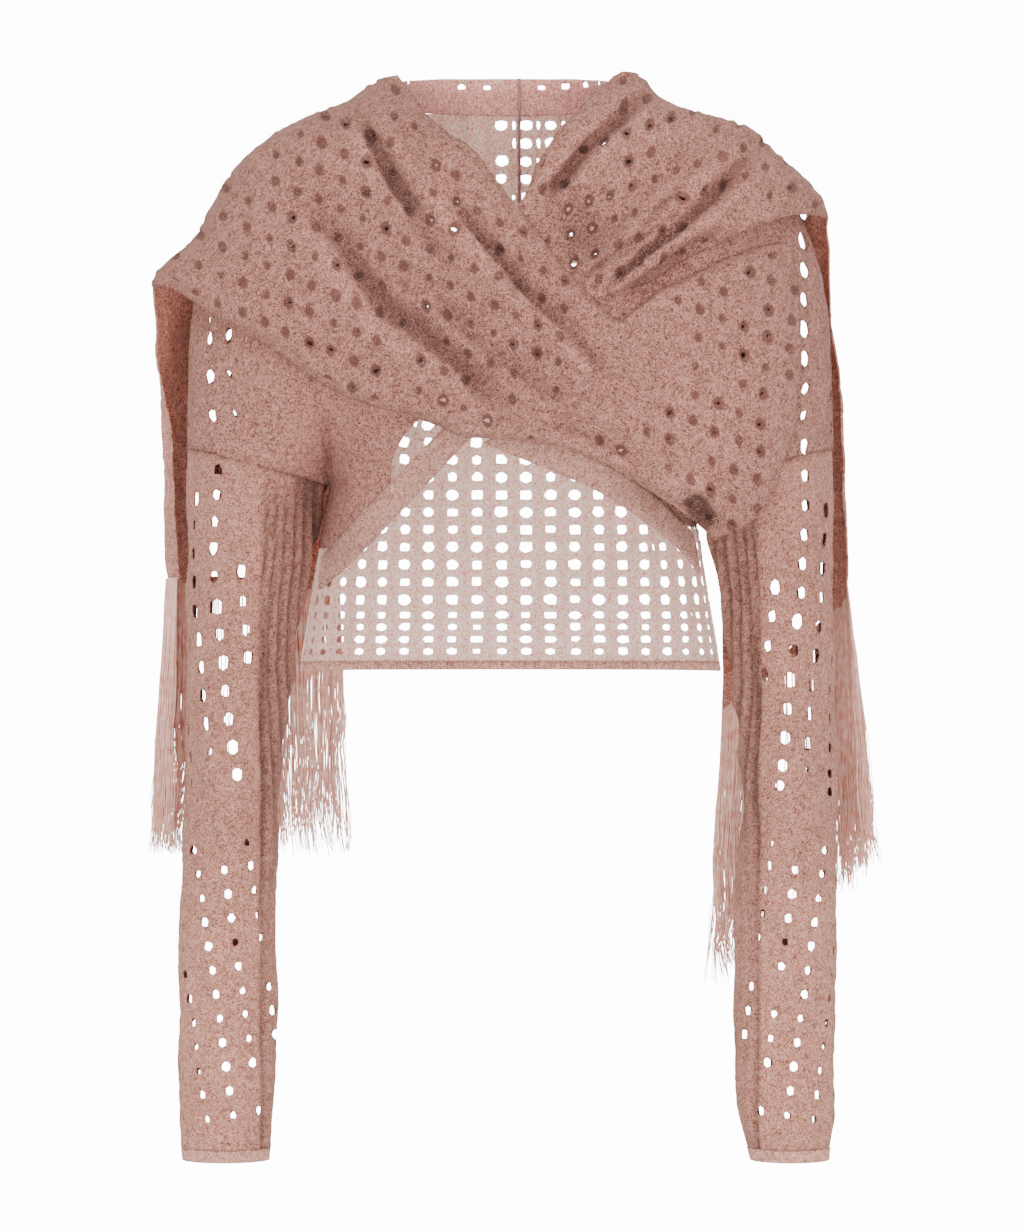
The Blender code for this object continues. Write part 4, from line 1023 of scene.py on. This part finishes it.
def makeWrap(name, point, lace, folds, creases, clear, cadNode):
    grid = finer(sampled(point, *lace["samples"]), lace["finer"])
    p, q = seen(grid)
    edge = np.minimum(np.linspace(0, 1, grid.shape[1]), np.linspace(1, 0, grid.shape[1]))[None, :] * overWidth
    rims = shut(eyeletRims(p, q, lace), edge < lace["border"])
    lift = foldLift(p, q, folds)[0] * lace["relief"]
    valleys = np.clip(edge / lace["valleyEdge"], 0, 1) * (1 - clear(grid))
    lift = np.where(lift < 0, lift * valleys, lift * np.clip(edge / lace["ridgeEdge"], 0, 1))
    rise = (stitchedEyelets(rims, lace["rimHeight"], pit=lace["pit"]) + lift
            + unevenness(grid, 0.03, lace["lumps"], lace["seed"]) + unevenness(grid, 0.009, 0.0002, 40))
    _, deep = foldLift(p, q, [Fold(-crease.depth, crease.width, crease.path) for crease in creases])
    _, shadow = foldLift(p, q, [Fold(fold.lift, fold.width * wrapPaintedLight["spread"], fold.path) for fold in folds])
    # painted shade in valleys and creases, painted highlight on ridges, then the ovals of painted shade and light
    tone = (wrapPaintedLight["flat"] - wrapPaintedLight["valley"] * np.tanh(wrapPaintedLight["steep"] * np.clip(shadow, *wrapPaintedLight["reach"]))
            - wrapPaintedLight["crease"] * deep + wrapPaintedLight["ridge"] * np.clip(lift / wrapPaintedLight["ridgeLift"], 0, 1))
    for x0, y0, reachX, reachY, factor in lace["paintedShadeAndLightSpots"]:
        tone = tone * (1 + (factor - 1) * bell(p - x0, reachX) * bell(q - y0, reachY))
    return clothShell(name, grid, rims, rise, p, q, np.clip(tone, *wrapPaintedLight["range"]), lace, fromBody, frontKnit,
                      cadNode, cut=lace["cut"])


def crossingClearance(grid):  # where the upper wrap lies straight on the lower one
    x = grid[:, :, 0]
    return (softStep((crossingZone["left"] - x) / crossingZone["leftFade"])
            * softStep((x - crossingZone["right"]) / crossingZone["rightFade"]) * 0.85)


def noClearance(grid):
    return np.zeros(grid.shape[:2])


wrapOver = makeWrap("wrapOver", overPoint, overLace, overFolds, overCreases, crossingClearance, "wrap_over")
wrapUnder = makeWrap("wrapUnder", underPoint, underLace, underFolds, underCreases, noClearance, "wrap_under")

armLace = {"pitch": 0.0185, "rowPitch": 0.0193, "raisedRowPitch": (0.0136, 0.0205), "tilt": 0.17, "seed": 21,
           "unevenness": 0.14, "limit": 0.005, "lowerRow": 14, "height": 0.0096, "lowerHeight": 0.0072,
           "raisedHeight": 0.0078, "slitHeight": 0.0036, "widths": (0.0046, 0.0042, 0.0080, 0.0062),
           "lowerWidths": (0.0060, 0.0062, 0.0044), "raisedWidth": 0.0048, "behind": 1.45,
           "closed": 0.2, "lowerMain": 0.70, "lowerOuter": 0.95, "everywhereFrom": 0.15}
# The pitch between columns inside and outside the main column
Pitch = namedtuple("Pitch", "height pitch")
innerPitch = table(Pitch, (-0.17, 0.0133), (-0.20, 0.0185))
outerPitch = table(Pitch, (-0.17, 0.0133), (-0.26, 0.0137), (-0.42, 0.0163), (-0.48, 0.0190))
# Where eyelets are open: hand 0 is both arms, columns count inwards from the main one and rows downwards
Stretch = namedtuple("Stretch", "hand first last top bottom")
armStretches = table(Stretch, (-1, 0, 0, -7, 11), (1, 0, 0, -9, 11), (0, -1, -1, 1, 10), (0, -99, -2, -6, 11),
                    (0, 1, 1, 4, 7), (0, 1, 1, -7, -4), (-1, 1, 1, -6, -2))
lowerStretch = Stretch(0, -99, 0, 14, 25)
everyStretch = Stretch(0, 1, 99, -14, 11)


def within(stretch, ni, nj):
    return (ni >= stretch.first) & (ni <= stretch.last) & (nj >= stretch.top) & (nj <= stretch.bottom)


def downLine(lines, name, heights):  # a table's value at each height, from its top row down
    return np.interp(-heights, [-line.height for line in lines], [getattr(line, name) for line in lines])


def armEyelets(grid, hand, reach, far, everywhere=False):
    # Eyelets of an arm, lined up in the front view so that light shows through all its layers.
    p, q = seen(grid)
    across = hand * p
    arm = 0 if hand < 0 else 1
    main = downLine((armColumnRight, armColumnLeft)[arm], "x", q)
    number = downLine((armRowsRight, armRowsLeft)[arm], "number", q)
    inner, outer = downLine(innerPitch, "pitch", q), downLine(outerPitch, "pitch", q)
    limit = reach - armLace["limit"]
    held = np.minimum(across, limit)
    u = np.where(held > main, (main - held) / outer, (main - held) / inner)
    arc = np.zeros_like(u)  # past the limit the cloth turns away, so its own length counts on
    total = arcs(grid)
    for k in range(grid.shape[1]):
        beyond = across[:, k] > limit[:, k]
        if not beyond.any():
            continue
        length = total[beyond, k]
        if far:
            arc[beyond, k] = np.abs(length - length[0])
        else:
            turned = np.minimum(length, total[-1, k] - length)
            arc[beyond, k] = turned.max() - turned
    u = u - arc / armLace["pitch"]
    v = number + armLace["tilt"] * np.clip(u, -3, 3)
    ni, nj = np.round(u), np.round(v)
    size = 1 + armLace["unevenness"] * (2 * chance(ni, nj, armLace["seed"]) - 1)
    lower, raised = nj >= armLace["lowerRow"], nj < 0
    *widths, otherWidth = armLace["widths"]
    *lowerWidths, otherLowerWidth = armLace["lowerWidths"]
    width = np.where(lower, np.select([ni == -2, ni == -1], lowerWidths, otherLowerWidth),
                     np.select([ni <= -2, ni == -1, ni == 0], widths, otherWidth))
    width = np.where(raised & (ni >= 0), armLace["raisedWidth"], width)
    height = np.where(lower, armLace["lowerHeight"], armLace["height"])
    height = np.where(raised, armLace["raisedHeight"], height)
    height = np.where(raised & (hand < 0) & (nj % 2 != 0), armLace["slitHeight"], height)
    if far:
        width, height = width * armLace["behind"], height * armLace["behind"]
    lucky = chance(ni, nj, armLace["seed"] + 1) < np.where(ni == 0, armLace["lowerMain"], armLace["lowerOuter"])
    opened = within(lowerStretch, ni, nj) & lucky
    for stretch in armStretches:
        if stretch.hand in (0, hand):
            opened |= within(stretch, ni, nj)
    opened &= ~((nj == -1) & (hand < 0))  # the shoulder seam lies there
    if everywhere:
        opened |= within(everyStretch, ni, nj) & (across > armLace["everywhereFrom"])
        size = np.where(ni > 0, size / armLace["behind"], size)
    size = np.where(opened, size, armLace["closed"])
    pitch = np.where(arc > 0, armLace["pitch"], np.where(held > main, outer, inner))
    rowPitch = np.interp(-q, [0.15, 0.22], [armLace["raisedRowPitch"][arm], armLace["rowPitch"]])
    return ovalRims((u - ni) * pitch, (v - nj) * rowPitch, width * size, height * size)


def yokeReach(grid, p):  # how far out the arm's fold lies at each height
    return np.broadcast_to(downLine(yoke, "halfWidth", grid[0, :, 2])[None, :], p.shape)


frontLace = {"samples": (36, 40), "finer": 3, "wall": 0.0012, "lumps": 0.0006, "seed": 3, "rimHeight": 0.0005,
             "highest": 0.0008, "netFrom": 0.185, "netTop": -0.03, "tone": 1.04, "underShade": 0.10}


def makeFront(name, hand, seamLine, cadNode):
    lace = frontLace
    inner = Inner(seamLine, seamLine[-1].height)
    columns, rowCount = lace["samples"]
    coarse = sampled(lambda u, v: panelPoint(2 * u, 2 * v, -1, hand, inner), columns, rowCount)
    grid, keep = finerPanel(coarse, rowCount // 2, 0, columns // 2, lace["finer"])
    p, q = seen(grid)
    rims = shut(armEyelets(grid, hand, yokeReach(grid, p), True),
                (hand * p < lace["netFrom"]) | (q > lace["netTop"]))
    rise = stitchedEyelets(rims, lace["rimHeight"]) + unevenness(grid, 0.04, lace["lumps"], lace["seed"])
    # painted shade low on the inner front, under the wraps
    tone = lace["tone"] - lace["underShade"] * softStep((0.150 - hand * p) / 0.03) * softStep((-0.16 - q) / 0.05)
    return clothShell(name, grid, rims, np.minimum(rise, lace["highest"]), p, q, tone, lace, fromBody, frontKnit,
                      cadNode, keep=keep)


frontRight = makeFront("frontRight", -1, frontSeamRight, "front_right")
frontLeft = makeFront("frontLeft", 1, frontSeamLeft, "front_left")

backLace = {"start": (-0.0237, -0.2396), "along": (0.0176, 0), "down": (0, -0.0125), "width": 0.0086,
            "height": 0.0072, "unevenness": 0.12, "closed": 0.0, "wander": 0.0003, "seed": 4, "rimHeight": 0.0005,
            "plain": ((-0.040, 0.008, 0.035, 0.030),), "wall": 0.0010, "samples": (80, 44), "finer": 4,
            "torsoRows": 16, "squeezeFrom": 0.036, "squeeze": 0.45, "hemEdge": 0.002, "topEdge": 0.004,
            "armFrom": 0.183, "armTop": -0.03, "wale": 0.13, "yokeShade": 0.16, "hemShade": 0.05}
backSlits = dict(backLace, start=(-0.0149, -0.2396), width=0.0023, height=0.0070, seed=6)


def makeBack():
    inner = Inner((), hemHeight)
    columns, rowCount = backLace["samples"]
    low = backLace["torsoRows"] / rowCount

    def point(u, v):
        r = v / low if v < low else 1 + (v - low) / (1 - low)
        return panelPoint(abs(4 * u - 2), r, 1, math.copysign(1, u - 0.5), inner)
    grid, keep = finerPanel(sampled(point, columns, rowCount), backLace["torsoRows"], columns // 4,
                            columns * 3 // 4, backLace["finer"])
    middle = (grid.shape[0] - 1) // 2
    p, q = arcs(grid, middle), grid[:, :, 2]
    squeezed = q - backLace["squeeze"] * np.clip(hemHeight + backLace["squeezeFrom"] - q, 0, backLace["squeezeFrom"])
    rims = np.minimum(eyeletRims(p, squeezed, backLace), eyeletRims(p, squeezed, backSlits))
    rims = shut(rims, (q < hemHeight + backLace["hemEdge"]) | (q > topLine - backLace["topEdge"]), 0.002)
    reach = yokeReach(grid, p)
    for hand, part in ((-1, slice(0, middle)), (1, slice(middle, None))):
        arm = armEyelets(grid[part][::hand], hand, reach[part], True)[::hand]
        zone = (hand * grid[part][:, :, 0] > backLace["armFrom"]) & (q[part] < backLace["armTop"])
        rims[part] = np.where(zone, arm, rims[part])
    rise = stitchedEyelets(rims, backLace["rimHeight"], 0.0013)
    wales = np.cos((p - backSlits["start"][0]) * 2 * math.pi / backLace["along"][0])
    # the knit's darker wales, painted shade over the yoke, and darker towards the hem
    tone = (1.0 - backLace["wale"] * np.clip(wales, 0, 1) - backLace["yokeShade"] * softStep((q + 0.12) / 0.1)
            - backLace["hemShade"] * softStep((hemHeight + 0.012 - q) / 0.01))
    return clothShell("backPanel", grid, rims, rise, p, q, tone, backLace, fromBody, backKnit, "back_panel",
                      keep=keep)


backPanel = makeBack()

sleeveLace = {"rimHeight": 0.0006, "wall": 0.0012, "samples": (40, 50), "finer": 3, "pleat": 0.0015,
              "pleatFrom": 0.1760, "pleatPitch": 0.0068, "pleatTop": -0.215, "creaseX": 0.1727, "creaseWidth": 0.0019,
              "creaseDepth": 0.0016, "seamWidth": 0.0016, "tone": 1.0, "fold": 0.26, "valley": 0.38, "crease": 0.50,
              "behindCrease": 0.12, "lower": 0.20, "seam": 0.25, "paintedEdgeLight": 0.10, "armpitShade": 0.5, "range": (0.35, 1.3)}


def makeSleeve(name, hand, rings, cadNode):
    look = sleeveLace
    grid = finer(sampled(lambda u, v: sleevePoint(u, v, hand, rings), *look["samples"]), look["finer"], closed=True)
    p, q = seen(grid)
    across = hand * p
    rims = armEyelets(grid, hand, np.max(across, axis=0)[None, :] + 0 * p, False)
    inner = look["pleatFrom"] - across + 0.02 * np.clip(-0.26 - q, 0, 0.05)
    fade = np.clip(inner / 0.004, 0, 1) * np.clip((look["pleatTop"] - q) / 0.04, 0, 1)
    fade = fade * np.clip((q + 0.52) / 0.10, 0.25, 1)
    waves = np.sin(inner * 2 * math.pi / look["pleatPitch"] + 2.2 * np.sin(q * 31) + 1.2)
    line = bell(across - look["creaseX"], look["creaseWidth"]) * softStep((-0.31 - q) / 0.05)
    rise = (stitchedEyelets(rims, look["rimHeight"]) + fade * look["pleat"] * waves - look["creaseDepth"] * line
            + unevenness(grid, 0.05, 0.0010, 9) + unevenness(grid, 0.012, 0.0002, 33))
    seamHeight = overarmHeight + (armpitHeight - overarmHeight) * np.clip((overarmX - across) / 0.1, 0, 1)
    # painted shade in the pleats, the creases and behind the crease, painted light on the lower sleeve and its outer
    # edge, and a darker line at the armhole seam
    tone = (look["tone"] - look["fold"] * fade - look["valley"] * fade * np.clip(-waves, 0, 1) - look["crease"] * line
            - look["behindCrease"] * softStep((look["creaseX"] - across) / 0.003) * softStep((-0.40 - q) / 0.05)
            + look["lower"] * softStep((-0.46 - q) / 0.10) - look["seam"] * bell(q - seamHeight, look["seamWidth"])
            + look["paintedEdgeLight"] * softStep((across - 0.215) / 0.01))
    tone = tone - look["armpitShade"] * bell(across - 0.142, 0.009) * bell(q + 0.238, 0.016)  # painted shade in the gathers at the armpit
    return clothShell(name, grid, rims, rise, p, q, np.clip(tone, *look["range"]), look, fromArm(hand * 0.185),
                      sleeveKnit, cadNode, closed=True)


sleeveRightCloth = makeSleeve("sleeveRight", -1, sleeveRight, "sleeve_right")
sleeveLeftCloth = makeSleeve("sleeveLeft", 1, sleeveLeft, "sleeve_left")

tailLace = {"rimHeight": 0.0006, "lumps": 0.0010, "wall": 0.0013, "samples": (24, 42), "finer": 3, "reach": 0.2300,
            "fringeEdge": 0.02, "netTop": 0.03, "netTo": 0.226, "tone": 1.12, "paintedEdgeLight": 0.35}


def makeTail(name, hand, shoulder, plan, tail, cadNode):
    grid = finer(sampled(lambda u, v: tailPoint(u, v, shoulder, plan, tail), *tailLace["samples"]),
                 tailLace["finer"])
    p, q = seen(grid)
    edge = np.linspace(1, 0, grid.shape[1])[None, :]
    rims = shut(armEyelets(grid, hand, tailLace["reach"] + 0 * p, True, everywhere=True),
                (edge < tailLace["fringeEdge"]) | (q > tailLace["netTop"]) | (hand * p > tailLace["netTo"]))
    rise = stitchedEyelets(rims, tailLace["rimHeight"]) + unevenness(grid, 0.04, tailLace["lumps"], 12)
    # painted light on the tail, most on its outer side
    tone = tailLace["tone"] + tailLace["paintedEdgeLight"] * softStep((hand * p - tailLace["reach"]) / 0.014)
    return clothShell(name, grid, rims, rise, p, q, tone, tailLace, fromBody, sleeveKnit, cadNode)


tailRightCloth = makeTail("tailRight", -1, overShoulder, tailRightPlan, tailRight, "tail_right")
tailLeftCloth = makeTail("tailLeft", 1, underShoulder, tailLeftPlan, tailLeft, "tail_left")

ribs = {"perMetre": 430, "depth": 0.0004, "wall": 0.0018}
ribMaker = ribTree()


def makeRib(name, cadNode, grid, outward, tone):
    piece = grown(name, ribMaker, bandMesh(name + "Band", grid, outward, tone),
                  {"Ribs per metre": ribs["perMetre"], "Depth": ribs["depth"], "Wall": ribs["wall"],
                   "Material": ribKnit})
    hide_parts(cadNode)
    return piece


def frontRibGrid(ends):
    keys = list(range(len(ends)))

    def point(u, v):
        share = u * (len(ends) - 1)
        seamX, seamHeight, freeX, freeHeight = (through(keys, [end[k] for end in ends], share) for k in range(4))
        x, height = mix(seamX, freeX, v), mix(seamHeight, freeHeight, v)
        return x, -bodyDepth(x, height, -1), height
    return finerAlong(sampled(point, 60, 5), 5)


def hemGrid():
    def point(u, v):
        height = hemHeight - hemDepth * (1 - v)
        c = 2 * u - 1
        x = sideSeam(height) * math.sin(math.pi / 2 * abs(c))
        return math.copysign(x, c), max(bodyDepth(x, height, 1), seam), height
    return finerAlong(sampled(point, 90, 2), 6)


def neckGrid(hand):
    half = neckHalfWidthLeft if hand > 0 else neckHalfWidthRight
    start = math.asin((centreSeamX + hand * seam / 2) / half)

    def point(u, v):
        turn = mix(start, hand * math.pi * 0.49, u)
        height = mix(topLine - 0.0010, neckTop - neckSideDrop * (1 - math.cos(turn)), v)
        flare = mix(neckFlare, 1.0, v)
        return half * flare * math.sin(turn), neckDepth * flare * math.cos(turn), height
    return finer(sampled(point, 26, 5), 3)


def cuffGrid(hand, rings):
    def point(u, v):
        height = cuffTop - seam - 0.0004 - cuffDepth * v
        x, y = ringPoint(rings, 2 * math.pi * u, height)
        return hand * x, y, height
    return finerAlong(sampled(point, 64, 4), 6, closed=True)


# the last number paints each band: painted shade on the front ribs under the wraps, painted light on the hem rib and
# the cuffs
ribRightBand = makeRib("frontRibRight", "front_rib_right", frontRibGrid(ribRight), fromBody, 0.84)
ribLeftBand = makeRib("frontRibLeft", "front_rib_left", frontRibGrid(ribLeft), fromBody, 0.92)
hemBand = makeRib("hemRib", "hem_rib", hemGrid(), fromBody, 1.3)
neckLace = {"start": (-0.0035, 0.0492), "along": (0.0196, 0), "down": (0, -0.0400), "width": 0.0082,
            "height": 0.0040, "unevenness": 0.25, "closed": 0.25, "seed": 15, "wall": 0.0014, "rimHeight": 0.0005,
            "border": 0.004, "edgeRoll": 0.0006, "edgeWidth": 0.0015, "tone": 0.86, "topTone": 0.22}


def makeNeck(name, hand, cadNode):
    grid = neckGrid(hand)
    p, q = hand * arcs(grid), grid[:, :, 2]
    rims = np.where(q > neckTop - neckLace["border"], 0.003, eyeletRims(p, q, neckLace))
    rise = (stitchedEyelets(rims, neckLace["rimHeight"], 0.0012)
            + neckLace["edgeRoll"] * bell(q - neckTop + neckLace["edgeWidth"], neckLace["edgeWidth"]))
    tone = neckLace["tone"] + neckLace["topTone"] * np.clip((q - 0.042) / 0.010, 0, 1)
    return clothShell(name, grid, rims, rise, p, q, tone, neckLace, fromBody, neckKnit, cadNode)


neckRight = makeNeck("neckBandRight", -1, "neck_band_right")
neckLeft = makeNeck("neckBandLeft", 1, "neck_band_left")
cuffRightBand = makeRib("cuffRight", "cuff_right", cuffGrid(-1, sleeveRight), fromArm(-0.195), 1.15)
cuffLeftBand = makeRib("cuffLeft", "cuff_left", cuffGrid(1, sleeveLeft), fromArm(0.195), 1.15)
print("ribbed bands")

fringeMaker = fringeTree()


def spreadFringe(piece, line, fringe, hand):  # strands spread outwards, and stand thinner behind the arm's eyelets
    mesh = piece.data
    points = np.empty(len(mesh.vertices) * 3)
    mesh.vertices.foreach_get("co", points)
    each = fringeLook["steps"] * fringeLook["corners"]
    strands = points.reshape(-1, each, 3)
    roots = strands[:, :fringeLook["corners"]].mean(axis=1)
    nearest = np.argmin(((roots[:, None, :2] - line[None, :, :2]) ** 2).sum(axis=2), axis=1)
    share = nearest / (len(line) - 1)
    drop = (roots[:, None, 2] - strands[:, :, 2]) / fringe.length
    strands[:, :, 0] += hand * 2 * fringe.spread * (share[:, None] - 0.35) * drop
    rng = np.random.default_rng(8)
    behind = np.abs(hand * roots[:, 0] - fringeLook["thinAt"]) < fringeLook["thinReach"]
    kept = ~behind | (rng.random(len(strands)) < fringeLook["thinShare"])
    mesh.vertices.foreach_set("co", strands.ravel())
    work = bmesh.new()
    work.from_mesh(mesh)
    work.verts.ensure_lookup_table()
    gone = [work.verts[i] for k in np.flatnonzero(~kept) for i in range(k * each, (k + 1) * each)]
    bmesh.ops.delete(work, geom=gone, context="VERTS")
    work.to_mesh(mesh)
    work.free()


def makeFringe(name, hand, shoulder, plan, tail, fringe, cadNode):
    points = [Vector(tailPoint(u / 60, 1.0, shoulder, plan, tail)) + Vector((0, -0.0006, 0.002)) for u in range(61)]
    piece = grown(name, fringeMaker, lineCurve(name + "Line", points),
                  {"Strands": fringeLook["strands"], "Length": fringe.length, "Radius": fringeLook["radius"],
                   "Wave": fringeLook["wave"], "Seed": fringeLook["seed"], "Material": fringeYarn})
    spreadFringe(piece, np.array([tuple(point) for point in points]), fringe, hand)
    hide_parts(cadNode)
    return piece


fringeRightEnds = makeFringe("fringeRight", -1, overShoulder, tailRightPlan, tailRight, fringeRight, "fringe_right")
fringeLeftEnds = makeFringe("fringeLeft", 1, underShoulder, tailLeftPlan, tailLeft, fringeLeft, "fringe_left")
print("fringe")

seamLine = [(centreSeamX, neckDepth * mix(1.0, neckFlare, k / 6) - 0.0035, mix(neckTop, topLine, k / 6))
            for k in range(7)]
for k in range(1, 10):
    height = topLine - 0.012 * k
    seamLine.append((centreSeamX, bodyDepth(centreSeamX, height, 1) - 0.0020, height))
centreSeam = grown("centreSeam", cordTree(), lineCurve("centreSeamLine", seamLine),
                   {"Radius": cordLook["radius"], "Material": seamYarn})

halo = {"density": 42000, "length": 0.009, "seed": 5}
haloMaker = haloTree()
fibre = fibreMesh()
halos = {}
for cloth, share in ((wrapOver, 1.0), (wrapUnder, 1.0), (frontRight, 0.4), (frontLeft, 0.3),
                     (sleeveRightCloth, 0.5), (sleeveLeftCloth, 0.5), (tailRightCloth, 0.5), (tailLeftCloth, 0.5)):
    name = cloth.name + "Halo"
    halos[cloth.name] = grown(name, haloMaker, bpy.data.meshes.new(name + "Base"), {
        "Cloth": cloth, "Fibre": fibre, "Density": halo["density"] * share, "Length": halo["length"],
        "Seed": halo["seed"] + len(halos), "Material": haloYarn})
    print("halo:", name, len(halos[cloth.name].data.polygons), "faces")
bpy.data.objects.remove(fibre)

clothSlots = {"front_knit": (wrapOver, wrapUnder, frontRight, frontLeft, tailRightCloth, tailLeftCloth),
              "back_knit": (backPanel,), "sleeve_knit": (sleeveRightCloth, sleeveLeftCloth),
              "rib": (ribRightBand, ribLeftBand, hemBand, neckRight, neckLeft, cuffRightBand, cuffLeftBand),
              "fringe_yarn": (fringeRightEnds, fringeLeftEnds)}
for slotName, members in clothSlots.items():
    for member in members:
        for piece in filter(None, (member, halos.get(member.name))):
            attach(piece, "root")
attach(centreSeam, "root")

studio = {"floor": -0.760, "floorHalf": 20, "world": 1.1, "backdrop": 14.0, "key": 50, "fill": 10, "low": 130,
          "rim": 48}


def cameraRays(tree, otherwise, seenDirectly):  # what the camera sees is brighter than the light it gives
    rays = node(tree, "ShaderNodeLightPath").outputs["Is Camera Ray"]
    return ranged(tree, rays, 0, 1, otherwise, seenDirectly)


floorMesh = bpy.data.meshes.new("paleFloor")
floorMesh.from_pydata([(x * studio["floorHalf"], y * studio["floorHalf"], studio["floor"])
                       for x, y in ((-1, -1), (1, -1), (1, 1), (-1, 1))], [], [(0, 1, 2, 3)])
paleFloor = placed("paleFloor", floorMesh)
paper, paperTree, paperShader = newMaterial("palePaper", {"Base Color": (0.93, 0.93, 0.93, 1), "Roughness": 1.0,
                                                          "Emission Color": (1, 1, 1, 1)})
paperTree.links.new(cameraRays(paperTree, 0, studio["backdrop"] - 1), paperShader.inputs["Emission Strength"])
floorMesh.materials.append(paper)

world = bpy.data.worlds.new("softWhite")
world.use_nodes = True
sky = world.node_tree.nodes["Background"]
sky.inputs["Color"].default_value = (1, 1, 1, 1)
world.node_tree.links.new(cameraRays(world.node_tree, studio["world"], studio["backdrop"]), sky.inputs["Strength"])
bpy.context.scene.world = world


def areaLight(name, place, target, size, power):
    data = bpy.data.lights.new(name, "AREA")
    data.size = size
    data.energy = power
    obj = placed(name, data)
    obj.location = place
    obj.rotation_euler = (Vector(target) - Vector(place)).to_track_quat("-Z", "Y").to_euler()


areaLight("keyLight", (-0.7, -2.3, 2.3), (0, 0, -0.25), 1.3, studio["key"])
areaLight("fillLight", (1.9, -2.4, 0.3), (0, 0, -0.35), 1.8, studio["fill"])
areaLight("lowLight", (0.1, -2.6, -1.0), (0, 0.1, -0.4), 1.6, studio["low"])
areaLight("rimLight", (0.2, 2.6, 0.9), (0, 0, -0.25), 2.2, studio["rim"])

cameraData = bpy.data.cameras.new("camera")
cameraData.sensor_fit = "VERTICAL"
cameraData.sensor_height = 36
cameraData.sensor_width = 36
cameraData.lens = 36 * -view["place"][1] / view["frameHeight"]
camera = placed("camera", cameraData)
camera.location = view["place"]
camera.rotation_euler = (math.pi / 2, 0, 0)
bpy.context.scene.camera = camera

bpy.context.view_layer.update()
total = sum(len(o.data.polygons) for o in bpy.data.objects if o.type == "MESH" and not o.hide_render)
print("done,", total, "faces before the walls")
